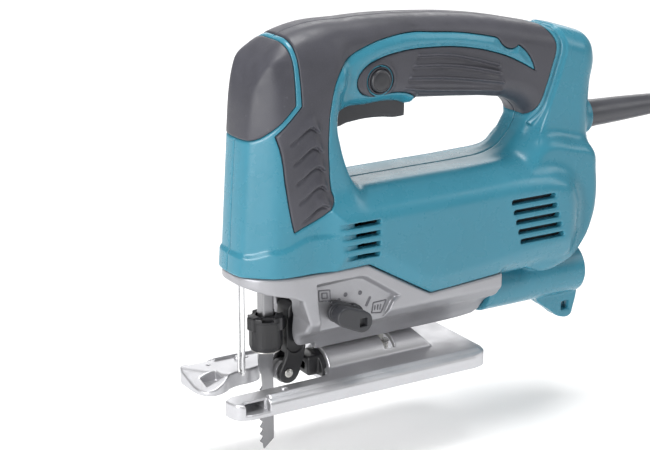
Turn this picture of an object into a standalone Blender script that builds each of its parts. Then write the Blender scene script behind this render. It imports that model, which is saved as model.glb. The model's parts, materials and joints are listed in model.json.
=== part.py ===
"""Top-handle jigsaw, modelled as the separate pieces that the real tool is made of.

Frame: origin at the middle of the sole's underside, +X to the rear (cord end),
-X the cutting direction, +Z up, -Y the side with the selector lever. Metres.
"""
import math

import bmesh
import bpy
from mathutils import Matrix, Vector

MM = 0.001
GAP = 0.3                      # clearance between touching pieces

# Driving dimensions, in millimetres
BASE_HALF_LENGTH = 82.0
BASE_HALF_WIDTH = 36.8
BASE_TOP = 9.0
BASE_RIDGE = 10.4
NOTCH_HALF_WIDTH = 20.5
NOTCH_END = -13.0
BEVEL_Z = 5.0                  # height of the bevel axis above the sole
SADDLE_RADIUS = 14.3
HANDLE_HALF = 18.5
HEAD_HALF = 27.5
BARREL_HALF = 33.0
SKIN = 2.2                     # thickness of the elastomer
WALL = 2.6                     # thickness of the housing wall under it
PLUNGER_X = -43.7
PLUNGER_SIDE = 7.0
MOTOR_Z = 81.0
GEAR_TEETH = 46
PINION_TEETH = 7
MODULE = 0.86
GEAR_Z = MOTOR_Z + MODULE * (GEAR_TEETH + PINION_TEETH) / 2.0
CRANK = 11.5                   # crank radius: half the 23 mm stroke
REST_BELOW_MIDDLE = 5.5        # the plunger rests this far below mid stroke
YOKE_Z = GEAR_Z - REST_BELOW_MIDDLE
LEVER_X = -4.0
LEVER_Z = 42.6
PANEL_Y = -24.6                # floor of the recess that the selector sits in
ROLLER_X = -33.0
ROLLER_Z = 8.5
ROLLER_RADIUS = 6.5
FORK_X = -26.0
FORK_Z = 44.0
CORD_Z = 128.0
CORD_RADIUS = 3.8
GUARD_START = 171.6
GUARD_END = 231.0
FLOOR = -44.5                  # surface the free cord lies on
COIL_X = 332.0
COIL_Y = 10.0
COIL_INNER = 29.5
COIL_OUTER = 52.0
BOLT_X = 30.0

for old in list(bpy.data.objects):
    bpy.data.objects.remove(old, do_unlink=True)

scene = bpy.context.scene
parts = bpy.data.collections.new("jigsaw")
scene.collection.children.link(parts)
cutters = bpy.data.collections.new("cutters")
scene.collection.children.link(cutters)


def material(name, colour, roughness, metallic=0.0):
    mat = bpy.data.materials.new(name)
    mat.use_nodes = True
    shader = mat.node_tree.nodes["Principled BSDF"]
    shader.inputs["Base Color"].default_value = (*colour, 1.0)
    shader.inputs["Roughness"].default_value = roughness
    shader.inputs["Metallic"].default_value = metallic
    return mat


TEAL = material("teal plastic", (0.045, 0.27, 0.36), 0.42)
GREY_RUBBER = material("grey elastomer", (0.06, 0.06, 0.07), 0.62)
BLACK = material("black plastic", (0.012, 0.012, 0.013), 0.45)
DARK_GREY = material("dark grey plastic", (0.05, 0.05, 0.055), 0.5)
ALUMINIUM = material("cast aluminium", (0.56, 0.56, 0.57), 0.42, 0.9)
STEEL = material("steel", (0.52, 0.52, 0.53), 0.28, 1.0)
ZINC = material("zinc plated steel", (0.6, 0.6, 0.58), 0.35, 1.0)
COPPER = material("copper", (0.72, 0.33, 0.16), 0.35, 1.0)
BRASS = material("brass", (0.72, 0.52, 0.2), 0.3, 1.0)
IRON = material("laminated iron", (0.16, 0.16, 0.17), 0.5, 0.8)
CARBON = material("carbon", (0.02, 0.02, 0.02), 0.7)
BRONZE = material("sintered bronze", (0.45, 0.27, 0.12), 0.45, 1.0)
CORD_BLACK = material("cord sheath", (0.013, 0.013, 0.014), 0.5)


def link(obj, guide):
    if guide:
        cutters.objects.link(obj)
        obj.hide_render = True
        obj.display_type = "WIRE"
    else:
        parts.objects.link(obj)
    return obj


def from_bmesh(name, bm, guide=True):
    mesh = bpy.data.meshes.new(name)
    bmesh.ops.recalc_face_normals(bm, faces=bm.faces)
    bm.to_mesh(mesh)
    bm.free()
    return link(bpy.data.objects.new(name, mesh), guide)


def block(name, x, y, z, guide=True, bevel=0.0, segments=2):
    """A rectangular block between the given limits."""
    bm = bmesh.new()
    bmesh.ops.create_cube(bm, size=1.0)
    size = Vector((x[1] - x[0], y[1] - y[0], z[1] - z[0])) * MM
    middle = Vector((x[0] + x[1], y[0] + y[1], z[0] + z[1])) * 0.5 * MM
    bmesh.ops.transform(bm, matrix=Matrix.Diagonal((*size, 1.0)), verts=bm.verts)
    bmesh.ops.translate(bm, vec=middle, verts=bm.verts)
    if bevel:
        bmesh.ops.bevel(bm, geom=list(bm.edges), offset=bevel * MM, segments=segments,
                        profile=0.5, affect="EDGES")
    return from_bmesh(name, bm, guide)


def rod(name, start, end, radius, segments=24, guide=True, end_radius=None):
    """A round rod, or a cone, from one point to another."""
    a = Vector(start) * MM
    b = Vector(end) * MM
    bm = bmesh.new()
    bmesh.ops.create_cone(bm, cap_ends=True, segments=segments, radius1=radius * MM,
                          radius2=(end_radius if end_radius is not None else radius) * MM,
                          depth=(b - a).length)
    turn = Vector((0, 0, 1)).rotation_difference((b - a).normalized()).to_matrix().to_4x4()
    bmesh.ops.transform(bm, matrix=Matrix.Translation((a + b) / 2) @ turn, verts=bm.verts)
    return from_bmesh(name, bm, guide)


AXES = {
    "z": Matrix.Identity(4),
    "x": Matrix.Rotation(math.radians(90), 4, "Y"),
    "y": Matrix.Rotation(math.radians(-90), 4, "X"),
}


def turned(name, profile, at=(0, 0, 0), axis="z", steps=28, guide=True):
    """A turned piece. The profile lists (radius, height) down the outer side.

    A profile that starts and ends on the axis gives a solid, any other one is a
    closed ring around its bore. Heights run along the chosen axis.
    """
    mesh = bpy.data.meshes.new(name)
    points = [(r * MM, 0.0, h * MM) for r, h in profile]
    edges = [(i, i + 1) for i in range(len(points) - 1)]
    if profile[0][0] > 0:
        edges.append((len(points) - 1, 0))
    mesh.from_pydata(points, edges, [])
    obj = link(bpy.data.objects.new(name, mesh), guide)
    screw = obj.modifiers.new("turn", "SCREW")
    screw.axis = "Z"
    screw.angle = math.radians(360)
    screw.steps = steps
    screw.render_steps = steps
    screw.use_merge_vertices = True
    screw.merge_threshold = 0.00001
    obj.matrix_world = Matrix.Translation(Vector(at) * MM) @ AXES[axis]
    return bake(obj)


def bake(obj):
    """Replace an object's mesh by its evaluated mesh, in world coordinates."""
    bpy.context.view_layer.update()
    graph = bpy.context.evaluated_depsgraph_get()
    mesh = bpy.data.meshes.new_from_object(obj.evaluated_get(graph))
    mesh.transform(obj.matrix_world)
    bm = bmesh.new()
    bm.from_mesh(mesh)
    bmesh.ops.remove_doubles(bm, verts=bm.verts, dist=0.000002)
    bmesh.ops.recalc_face_normals(bm, faces=bm.faces)
    bm.to_mesh(mesh)
    bm.free()
    name = obj.name
    guide = obj.name in cutters.objects
    bpy.data.objects.remove(obj)
    mesh.name = name
    return link(bpy.data.objects.new(name, mesh), guide)


def outline(name, loops, half, rounding=0.0, inset=0.0, smooth=True, resolution=3, arc=1):
    """A flat outline extruded to both sides of its plane, with rounded edges.

    A positive inset makes the same shape smaller all round, for skins and hollows.
    """
    curve = bpy.data.curves.new(name, "CURVE")
    curve.dimensions = "2D"
    curve.fill_mode = "BOTH"
    edge = max(rounding - inset, 0.6) if rounding else 0.0
    curve.bevel_depth = edge * MM
    curve.bevel_resolution = arc
    curve.extrude = (half - inset - edge) * MM
    curve.offset = -(edge + inset) * MM
    curve.resolution_u = resolution
    for loop in loops:
        if smooth:
            spline = curve.splines.new("BEZIER")
            spline.bezier_points.add(len(loop) - 1)
            for point, knot in zip(loop, spline.bezier_points):
                knot.co = (point[0] * MM, point[1] * MM, 0.0)
                kind = "VECTOR" if len(point) > 2 else "AUTO"
                knot.handle_left_type = kind
                knot.handle_right_type = kind
        else:
            spline = curve.splines.new("POLY")
            spline.points.add(len(loop) - 1)
            for point, knot in zip(loop, spline.points):
                knot.co = (point[0] * MM, point[1] * MM, 0.0, 1.0)
        spline.use_cyclic_u = True
    return link(bpy.data.objects.new(name, curve), True)


def side(name, loops, half, at_y=0.0, guide=True, **options):
    """An outline in the XZ plane, as thick as twice `half` across Y."""
    obj = outline(name, loops, half, **options)
    obj.rotation_euler = (math.radians(90), 0, 0)
    obj.location = (0, at_y * MM, 0)
    return finish(bake(obj), guide)


def plan(name, loops, z0, z1, guide=True, **options):
    """An outline in the XY plane, between two heights."""
    obj = outline(name, loops, (z1 - z0) / 2.0, **options)
    obj.location = (0, 0, (z0 + z1) / 2.0 * MM)
    return finish(bake(obj), guide)


def section(name, loops, x0, x1, guide=True, **options):
    """An outline in the YZ plane, between two stations along X."""
    obj = outline(name, loops, (x1 - x0) / 2.0, **options)
    obj.rotation_euler = (math.radians(90), 0, math.radians(90))
    obj.location = ((x0 + x1) / 2.0 * MM, 0, 0)
    return finish(bake(obj), guide)


def finish(obj, guide):
    if not guide:
        cutters.objects.unlink(obj)
        parts.objects.link(obj)
        obj.hide_render = False
        obj.display_type = "TEXTURED"
    return obj


def copy(obj, name, guide=True):
    twin = bpy.data.objects.new(name, obj.data.copy())
    for mod in obj.modifiers:
        new = twin.modifiers.new(mod.name, mod.type)
        new.operation = mod.operation
        new.object = mod.object
        new.solver = mod.solver
    return link(twin, guide)


def boolean(obj, operation, others, solver):
    for other in others:
        mod = obj.modifiers.new(other.name, "BOOLEAN")
        mod.operation = operation
        mod.object = other
        mod.solver = solver
    return obj


def cut(obj, *others, solver="EXACT"):
    return boolean(obj, "DIFFERENCE", others, solver)


def join(obj, *others, solver="EXACT"):
    return boolean(obj, "UNION", others, solver)


def keep(obj, *others, solver="EXACT"):
    return boolean(obj, "INTERSECT", others, solver)


def group(name, objs):
    """One guide made of separate solids that don't touch each other."""
    bm = bmesh.new()
    for obj in objs:
        bm.from_mesh(obj.data)
        bpy.data.objects.remove(obj)
    return from_bmesh(name, bm)


def thin(obj, degrees):
    """Merge the nearly flat facets that the cuts leave behind."""
    mod = obj.modifiers.new("thin", "DECIMATE")
    mod.decimate_type = "DISSOLVE"
    mod.angle_limit = math.radians(degrees)
    return obj


def dress(obj, mat, origin=None):
    """Give a finished piece its material, and its origin on its joint's axis."""
    obj.data.materials.clear()
    obj.data.materials.append(mat)
    obj.data.shade_smooth()
    obj.data.set_sharp_from_angle(angle=math.radians(35))
    if origin:
        point = Vector(origin) * MM
        obj.data.transform(Matrix.Translation(-point))
        obj.location = point
    return obj


def mirrored(points):
    """A loop from its half on the positive side, listed top to bottom or front to back."""
    return points + [(-p[0], *p[1:]) for p in reversed(points) if p[0] > 0.01]


def both_sides(points):
    """A plan loop from its half at positive Y, listed front to back."""
    return points + [(p[0], -p[1], *p[2:]) for p in reversed(points) if p[1] > 0.01]


# ---------------------------------------------------------------- outer form of the housing

HANDLE_LOOP = [(-52, 172), (-42, 190), (-28, 199), (6, 201.8), (50, 200.4), (90, 195.8),
               (130, 187.4), (152, 182.4), (164, 176.5), (168, 166), (165.6, 150), (165, 125),
               (166.5, 95), (164, 76), (150, 68), (60, 72), (-30, 86), (-50, 110), (-54, 145)]
FINGER_LOOP = [(-6, 128), (-8, 144), (-3, 154), (14, 157), (45, 155.5), (75, 152.5), (97, 149.8),
               (109, 147), (117.5, 142), (121, 136), (118.5, 128.5), (113, 122), (105, 115),
               (88, 106), (20, 104), (0, 110)]
HEAD_LOOP = [(-67.5, 60, 1), (-66, 74), (-64.5, 100), (-62.5, 130), (-61, 150), (-58.5, 168),
             (-53, 181), (-45, 190.5), (-36, 196), (-22, 198), (-9, 194), (-7, 180), (-9, 163),
             (-11, 150), (-9, 138), (-5, 125), (1, 112), (3, 90), (0, 60, 1)]
HEAD_PLAN = [(-65.2, 0), (-63.8, 8), (-60, 15), (-53, 21.2), (-44, 25.6), (-32, 27.8), (-5, 29),
             (40, 30, 1)]
HEAD_ACROSS = [(0, 199.5), (10, 198), (19, 190), (23.5, 176), (26, 160), (27.5, 142), (28.9, 120),
               (29.3, 50, 1)]
BARREL_ACROSS = [(0, 113.6), (12, 112.4), (24, 108), (30.5, 103.5), (33, 97), (33.2, 84),
                 (33, 68), (30.5, 59), (23, 51), (12, 47), (0, 46.4)]
PARTING = [(-90, 71.2), (5, 71.2), (46, 47.6), (96, 50.6)]


def housing_form(name, inset):
    """Handle loop, head and barrel in one solid, smaller all round by `inset`."""
    fine = {"inset": inset, "resolution": 2}
    form = side(name, [HANDLE_LOOP, FINGER_LOOP], HANDLE_HALF, rounding=12, **fine)
    head = side(name + "_head", [HEAD_LOOP], HEAD_HALF, rounding=8, **fine)
    around = plan(name + "_around", [both_sides(HEAD_PLAN)], 0, 240, **fine)
    around.data.transform(Matrix.Translation((0, 0, 0.11))
                          @ Matrix.Rotation(math.radians(3.6), 4, "Y")
                          @ Matrix.Translation((0, 0, -0.11)))
    across = section(name + "_across", [mirrored(HEAD_ACROSS)], -90, 30, **fine)
    keep(head, around, across, solver="MANIFOLD")
    head = bake(head)
    barrel = section(name + "_barrel", [mirrored(BARREL_ACROSS)], -24, 165.6, rounding=9,
                     **fine)
    join(form, head, barrel, solver="MANIFOLD")
    return bake(form)


form = housing_form("form", 0.0)
under_skin = housing_form("under_skin", SKIN)
skin_bed = housing_form("skin_bed", SKIN + GAP)
hollow = housing_form("hollow", SKIN + GAP + WALL)

GRIP_LOOP = [(-40.3, 95.8), (-42.3, 101), (-45, 121), (-47.1, 139), (-50.1, 149), (-36.9, 163.6),
             (-37.4, 178), (-38, 192), (-40.5, 206), (20, 212), (100, 208), (128, 197),
             (131.4, 186), (134.9, 180.7), (136, 175.5), (132.8, 164), (127.5, 148.4),
             (123.5, 138), (119, 133.5), (100, 132.8), (90, 140), (60, 146), (44, 149),
             (40.8, 157), (22, 160.4), (9.8, 160.6), (4.5, 164.6), (3.6, 169), (6.3, 175.6),
             (14.4, 180.4), (31.4, 184), (48.8, 184.2), (72.4, 181.9), (97, 175.5), (110, 169.8),
             (121.4, 163.6), (118.6, 170), (114, 175.6), (109.4, 179.2), (104.5, 177.5),
             (98, 180.6), (92.6, 185.4), (68.4, 190.5), (38.2, 193.6), (21.7, 191.8),
             (9.4, 188.9), (-2.7, 184), (-10.7, 177.2), (-17, 164.1), (-19, 145.5),
             (-18.7, 118.3), (-16.5, 110.1), (-18.5, 107)]
CAP_LOOP = [(-41, 206), (-38.8, 195), (-38, 190), (-37.4, 174), (-37.2, 163.8), (-50.4, 149.4),
            (-57, 145.4), (-80, 144.5), (-80, 206)]


def region(name, loop, y0, y1, grow):
    """A prism through the housing over one moulded region, grown by a clearance."""
    return side(name, [loop], (y1 - y0) / 2.0, at_y=(y0 + y1) / 2.0, smooth=False, inset=-grow)


def skin(name, loop, y0, y1):
    """The layer of elastomer that covers one region of the outer form."""
    obj = copy(form, name, guide=False)
    keep(obj, region(name + "_over", loop, y0, y1, 0.0), solver="MANIFOLD")
    cut(obj, under_skin, solver="MANIFOLD")
    return obj


def bed(name, y0, y1):
    """The room that the cap and one grip take from the housing, with clearance."""
    over = region(name + "_cap", CAP_LOOP, y0, y1, GAP)
    join(over, region(name + "_grip", GRIP_LOOP, y0 + 1, y1 + 1, GAP), solver="MANIFOLD")
    cut(over, skin_bed, solver="MANIFOLD")
    return bake(over)


bed_left = bed("bed_left", -62, 4)
bed_right = bed("bed_right", -4, 62)

# ---------------------------------------------------------------- housing halves

PORT_Z = 35.0
PORT_OUTER = 15.5
PORT_BORE = 13.0
port = rod("port", (88, 0, PORT_Z), (167, 0, PORT_Z), PORT_OUTER, 32)
port_bore = rod("port_bore", (99, 0, PORT_Z), (168, 0, PORT_Z), PORT_BORE, 28)
KEY_LOOP = [(138, 21), (150, 10), (157.5, 4.8), (165, 4.8), (166.6, 8), (166.6, 26), (138, 26)]
key_hook = side("key_hook", [KEY_LOOP, [(158, 9.2), (163.4, 9.2), (163.4, 14.4), (158, 14.4)]],
                5.0, smooth=False)
boss = turned("boss", [(0, 171.3), (9.8, 171.3), (11.5, 169.6), (11.5, 150), (0, 150)],
              at=(0, 0, CORD_Z), axis="x")
boss_bore = turned("boss_bore", [(0, 172), (7.9, 172), (7.9, 164.2), (10.2, 164.2),
                                 (10.2, 158.8), (6, 158.8), (6, 140), (0, 140)],
                   at=(0, 0, CORD_Z), axis="x")
gear_space = side("gear_space", [[(x, z + GAP) for x, z in PARTING[:3]]
                                 + [(96 + GAP, 50.6 + GAP), (96 + GAP, 0), (-90, 0)]],
                  60, smooth=False)
trigger_slot = block("trigger_slot", (-6, 43), (-8.7, 8.7), (143, 172))
LOCK_X = 17.3
LOCK_Z = 169.7
lock_bore = rod("lock_bore", (LOCK_X, -30, LOCK_Z), (LOCK_X, -8, LOCK_Z), 6.6, 28)
SCREWS = [(-24, 186, 15), (84, 172, 12), (152, 166, 13), (-21, 140, 20), (148, 92, 27),
          (146, 62, 25)]


def vents(name, sign):
    """Cooling slots through one side: five at the rear, four near the fan."""
    slots = []
    for i, (x0, z) in enumerate([(97, 92.9), (98.6, 86.9), (100.4, 80.9), (102.2, 74.9), (104, 69)]):
        slots.append(block("slot", (x0, x0 + 31), (sign * 26, sign * 36), (z - 1.4, z + 1.4)))
    for i, z in enumerate([96, 90, 84, 77.8]):
        slots.append(block("slot", (-5 + i, 9), (sign * 26, sign * 36), (z - 1.3, z + 1.3)))
    return group(name, slots)


def housing_half(name, sign):
    """One clamshell: the outer form on its side of the parting plane, hollowed."""
    half = copy(form, name, guide=False)
    near = sorted((sign * 0.15, sign * 70))
    join(half, port, boss, key_hook, solver="MANIFOLD")
    keep(half, block(name + "_half", (-100, 200), near, (-10, 230)), solver="MANIFOLD")
    cut(half, gear_space, bed_left if sign < 0 else bed_right, solver="MANIFOLD")
    cut(half, hollow, solver="MANIFOLD")
    posts = []
    for x, z, reach in SCREWS:
        ends = sorted((sign * 0.15, sign * 45))
        posts.append(rod("post", (x, ends[0], z), (x, ends[1], z), 4.2, 12))
    posts = keep(group(name + "_posts", posts), skin_bed, solver="MANIFOLD")
    join(half, posts, solver="MANIFOLD")
    cut(half, port_bore, boss_bore, trigger_slot, vents(name + "_vents", sign),
        solver="MANIFOLD")
    holes = []
    for x, z, reach in SCREWS:
        if sign < 0:
            holes.append(rod("hole", (x, -10, z), (x, 2, z), 1.9, 12))
        else:
            holes.append(turned("hole", [(0, 40), (3.9, 40), (3.9, reach - 6), (2.1, reach - 6),
                                         (2.1, -2), (0, -2)], at=(x, 0, z), axis="y", steps=12))
    cut(half, group(name + "_holes", holes), solver="MANIFOLD")
    if sign < 0:
        cut(half, lock_bore, solver="MANIFOLD")
    return dress(thin(half, 0.6), TEAL)


housing_half("housing_left", -1)
housing_half("housing_right", 1)

grip_left = skin("grip_left", GRIP_LOOP, -60, -0.15)
cut(grip_left, trigger_slot, lock_bore, solver="MANIFOLD")
dress(thin(grip_left, 0.6), GREY_RUBBER)
grip_right = skin("grip_right", GRIP_LOOP, 0.15, 60)
cut(grip_right, trigger_slot, solver="MANIFOLD")
screw_clear = [rod("clear", (x, 5, z), (x, 40, z), 4.1, 12) for x, z, reach in SCREWS[:4]]
cut(grip_right, group("grip_screw_clearance", screw_clear), solver="MANIFOLD")
dress(thin(grip_right, 0.6), GREY_RUBBER)
dress(skin("front_cap", CAP_LOOP, -60, 60), GREY_RUBBER)

for i, (x, z, reach) in enumerate(SCREWS):
    screw = turned("housing_screw_%d" % (i + 1),
                   [(0, reach - 2.9), (1.2, reach - 2.9), (1.2, reach - 1.4), (3.5, reach - 1.4),
                    (3.5, reach - 5.7), (1.7, reach - 5.7), (1.5, -9.3), (0, -9.3)],
                   at=(x, 0, z), axis="y", steps=10, guide=False)
    dress(screw, ZINC)

# ---------------------------------------------------------------- gear housing

GEAR_LOOP = [(-66.6, 71.2), (-65.4, 66), (-54, 61.8), (-39.5, 59), (-34.8, 56), (-33, 50),
             (-31.2, 43), (-32.4, 34), (-30.5, 25), (-27, 18), (66, 18), (78, 22.5), (87.2, 28.5),
             (90, 32.5), (95.7, 50.4), (46, 47.6), (5, 71.2)]
gear = side("gear_housing", [GEAR_LOOP], 28.2, rounding=1.5, smooth=False, guide=False)
around = plan("gear_around", [both_sides([(-66.9, 0), (-65.4, 8), (-61.6, 15), (-54.6, 21.2),
                                          (-45, 25.6), (-32, 27.9), (-5, 28.6), (110, 29)])],
              0, 90)
keep(gear, around)
SIDE_CUT = [(7.3, 5), (7.3, 19.5), (16, 32.6), (23.6, 35), (28.2, 40), (40, 40), (40, 5)]
for sign in (-1, 1):
    cut(gear, section("gear_flank_%d" % (sign + 2), [[(sign * y, z) for y, z in SIDE_CUT]],
                      -40, 100, smooth=False))
cut(gear, rod("saddle_seat", (-60, 0, BEVEL_Z), (110, 0, BEVEL_Z), SADDLE_RADIUS + 0.4, 64))
cut(gear, plan("throat", [both_sides([(-61.5, 8), (-58, 14), (-52, 19.5), (-45, 22.4),
                                      (-36, 22), (-32.6, 12)])], 40, 62.8, smooth=False))
cut(gear, rod("bush_seat", (PLUNGER_X, 0, 55), (PLUNGER_X, 0, 80), 8.0, 24))
cut(gear, block("fork_slot", (-40, -17), (-8.2, 8.2), (10, 51)))
cut(gear, block("cam_room", (-18, 5), (-15, 15), (36, 50)))
cut(gear, rod("motor_room", (-6.5, 0, MOTOR_Z), (62, 0, MOTOR_Z), 27.6, 40))
RECESS_LOOP = [(-27.4, 65.5), (-0.8, 65.9), (4, 64.9), (25.9, 50.5), (14.6, 41.2), (6.7, 37.0),
               (-15.6, 35.4), (-23.2, 35.2), (-25.3, 46.5)]
cut(gear, side("selector_recess", [RECESS_LOOP], 8, at_y=PANEL_Y - 8, smooth=False))
cut(gear, rod("selector_bore", (LEVER_X, -30, LEVER_Z), (LEVER_X, -10, LEVER_Z), 4.3, 24))
cut(gear, rod("fork_pin_bore", (FORK_X, -16, FORK_Z), (FORK_X, 16, FORK_Z), 1.8, 16))
cut(gear, rod("bolt_bore", (BOLT_X, 0, 10), (BOLT_X, 0, 36), 3.0, 16))
cut(gear, rod("guard_bore_a", (-59, -2.5, 60), (-59, -2.5, 66.5), 1.3, 12),
    rod("guard_bore_b", (-59, 2.5, 60), (-59, 2.5, 66.5), 1.3, 12))
dress(thin(gear, 1.0), ALUMINIUM)

# ---------------------------------------------------------------- wire guard

wire = bpy.data.curves.new("wire_guard", "CURVE")
wire.dimensions = "3D"
wire.bevel_depth = 1.0 * MM
wire.bevel_resolution = 2
wire.use_fill_caps = True
path = [(-59, -2.5, 65.5), (-59, -2.5, 40), (-59, -2.5, 13.5)]
for step in range(1, 8):
    turn = math.pi * step / 8.0
    path.append((-59, -2.5 * math.cos(turn), 13.5 - 2.5 * math.sin(turn)))
path += [(-59, 2.5, 13.5), (-59, 2.5, 40), (-59, 2.5, 65.5)]
spline = wire.splines.new("POLY")
spline.points.add(len(path) - 1)
for point, knot in zip(path, spline.points):
    knot.co = (point[0] * MM, point[1] * MM, point[2] * MM, 1.0)
guard_wire = link(bpy.data.objects.new("wire_guard", wire), False)
dress(bake(guard_wire), STEEL)

# ---------------------------------------------------------------- plunger, clamp and blade

REACH = PLUNGER_SIDE / 2.0
plunger = block("plunger", (PLUNGER_X - REACH, PLUNGER_X + REACH), (-REACH, REACH), (24, 150),
                guide=False)
yoke = section("yoke", [[(-18, YOKE_Z - 8), (18, YOKE_Z - 8), (18, YOKE_Z + 8),
                         (-18, YOKE_Z + 8)]], PLUNGER_X - REACH - 0.6, PLUNGER_X + REACH,
               smooth=False, rounding=0.8)
join(plunger, yoke)
slot_reach = CRANK + 4.6
cut(plunger, block("crank_slot", (PLUNGER_X - 9, PLUNGER_X + 9), (-slot_reach, slot_reach),
                   (YOKE_Z - 4.4, YOKE_Z + 4.4)))
cut(plunger, block("tang_slot", (PLUNGER_X - 9, PLUNGER_X + 9), (-0.9, 0.9), (20, 38)))
dress(plunger, STEEL, (PLUNGER_X, 0, YOKE_Z))

sleeve = turned("clamp_sleeve", [(9.9, 43.4), (9.9, 41.4), (9.3, 40.6), (9.35, 26), (8.4, 23.2),
                                 (5.4, 23.2), (5.4, 43.4)],
                at=(PLUNGER_X, 0, 0), guide=False, steps=22)
for lug in (0, 1, 2):
    turn = math.radians(70 + 120 * lug)
    bump = block("sleeve_lug_%d" % lug, (7.6, 10.6), (-2.6, 2.6), (36, 42.8))
    bump.data.transform(Matrix.Translation((PLUNGER_X * MM, 0, 0))
                        @ Matrix.Rotation(turn, 4, "Z"))
    join(sleeve, bump)
dress(sleeve, BLACK, (PLUNGER_X, 0, 33))

TOOTH = 4.4
teeth = []
for i in range(8):
    z = -32.6 + i * TOOTH
    teeth += [(-46.3, z - 0.2), (-47.9, z + 1.1), (-46.3, z + 3.4)]
BLADE_LOOP = ([(-46.6, 35.4), (-46.6, 24.5), (-48.6, 20), (-48.2, 12), (-46.6, 8)]
              + list(reversed(teeth))
              + [(-45.6, -36.2), (-39.3, -31), (-39.3, 21.5), (-41, 24.5), (-41, 35.4)])
dress(side("blade", [BLADE_LOOP], 0.6, smooth=False, guide=False), STEEL,
      (PLUNGER_X, 0, 10))

# ---------------------------------------------------------------- roller and its fork

roller = turned("guide_roller", [(6.5, 3.4), (6.5, 1.1), (5.6, 0.8), (5.6, -0.8), (6.5, -1.1),
                                 (6.5, -3.4), (1.8, -3.4), (1.8, 3.4)],
                at=(ROLLER_X, 0, ROLLER_Z), axis="y", guide=False, steps=20)
dress(roller, STEEL, (ROLLER_X, 0, ROLLER_Z))
pin = rod("roller_pin", (ROLLER_X, -6.9, ROLLER_Z), (ROLLER_X, 6.9, ROLLER_Z), 1.5, 16, False)
dress(pin, STEEL, (ROLLER_X, 0, ROLLER_Z))
FORK_LOOP = [(-30.2, 48.2), (-21.8, 48.2), (-21.2, 38), (-22.4, 26), (-25.6, 17), (-28.2, 9),
             (-29.6, 4.6), (-34.6, 4.4), (-36.8, 8), (-35.2, 12.6), (-33.4, 17), (-33.6, 26),
             (-33.4, 38)]
fork = side("roller_fork", [FORK_LOOP], 6.4, smooth=False, guide=False, rounding=0.8)
cut(fork, block("fork_gap", (-45, -24.8), (-3.8, 3.8), (0, 19.5)))
cut(fork, rod("fork_eye", (ROLLER_X, -9, ROLLER_Z), (ROLLER_X, 9, ROLLER_Z), 1.8, 16))
cut(fork, rod("fork_pivot", (FORK_X, -9, FORK_Z), (FORK_X, 9, FORK_Z), 1.8, 16))
dress(fork, BLACK, (FORK_X, 0, FORK_Z))
dress(rod("fork_pin", (FORK_X, -14.5, FORK_Z), (FORK_X, 14.5, FORK_Z), 1.5, 16, False), STEEL)

# ---------------------------------------------------------------- selector

END_X = LEVER_X - 10.7
END_Z = LEVER_Z + 4.4
knob = rod("change_lever", (LEVER_X, -37.4, LEVER_Z), (LEVER_X, -25.0, LEVER_Z), 5.6, 28, False)
knob_end = rod("knob_end", (END_X, -37.4, END_Z), (END_X, -26.4, END_Z), 5.2, 24)
side_x = 4.4 * 0.47
side_z = 10.7 * 0.47
knob_web = side("knob_web", [[(LEVER_X + side_x, LEVER_Z + side_z), (END_X + side_x, END_Z + side_z),
                              (END_X - side_x, END_Z - side_z),
                              (LEVER_X - side_x, LEVER_Z - side_z)]],
                5.4, at_y=-31.9, smooth=False)
join(knob, knob_end, knob_web)
cut(knob, block("knob_pocket", (LEVER_X - 2.6, LEVER_X + 2.2), (-40, -35.4),
                (LEVER_Z - 2.2, LEVER_Z + 2.6)))
dress(knob, BLACK, (LEVER_X, 0, LEVER_Z))
shaft = turned("selector_shaft", [(0, -9.0), (6.0, -9.0), (6.0, -13.6), (4.0, -13.6),
                                  (4.0, -24.7), (0, -24.7)][::-1],
               at=(LEVER_X, 0, LEVER_Z), axis="y", guide=False, steps=24)
dress(shaft, STEEL, (LEVER_X, 0, LEVER_Z))

# ---------------------------------------------------------------- trigger, lock button, switch

TRIGGER_LOOP = [(-4, 145.2), (-3.4, 156), (-2, 164.5), (34, 165), (40, 158), (40.6, 152),
                (39.2, 145.4), (36, 145.2), (26, 146.5), (15, 146.9), (4, 146)]
trigger = side("trigger", [TRIGGER_LOOP], 8.2, smooth=False, guide=False, rounding=2.0, arc=2)
TRIGGER_PIVOT = (36.5, 0, 160.5)
dress(trigger, DARK_GREY, TRIGGER_PIVOT)
button = turned("lock_button", [(0, -21.2), (3.6, -20.9), (5.6, -20.1), (6.25, -19.2),
                                (6.25, -12.6), (0, -12.6)][::-1],
                at=(LOCK_X, 0, LOCK_Z), axis="y", guide=False, steps=28)
dress(button, DARK_GREY, (LOCK_X, -16, LOCK_Z))
dress(block("switch", (6, 58), (-9.2, 9.2), (171.8, 188.5), guide=False, bevel=1.2, segments=1),
      BLACK)

# ---------------------------------------------------------------- motor


def gear_loop(teeth_count, root, tip, centre, phase):
    """Outline of a spur gear in the YZ plane, with tapered teeth."""
    points = []
    for tooth in range(teeth_count):
        base = phase + 2 * math.pi * tooth / teeth_count
        pitch = 2 * math.pi / teeth_count
        for share, radius in ((-0.36, root), (-0.17, tip), (0.17, tip), (0.36, root)):
            turn = base + share * pitch
            points.append((radius * math.cos(turn), centre + radius * math.sin(turn)))
    return points


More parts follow.
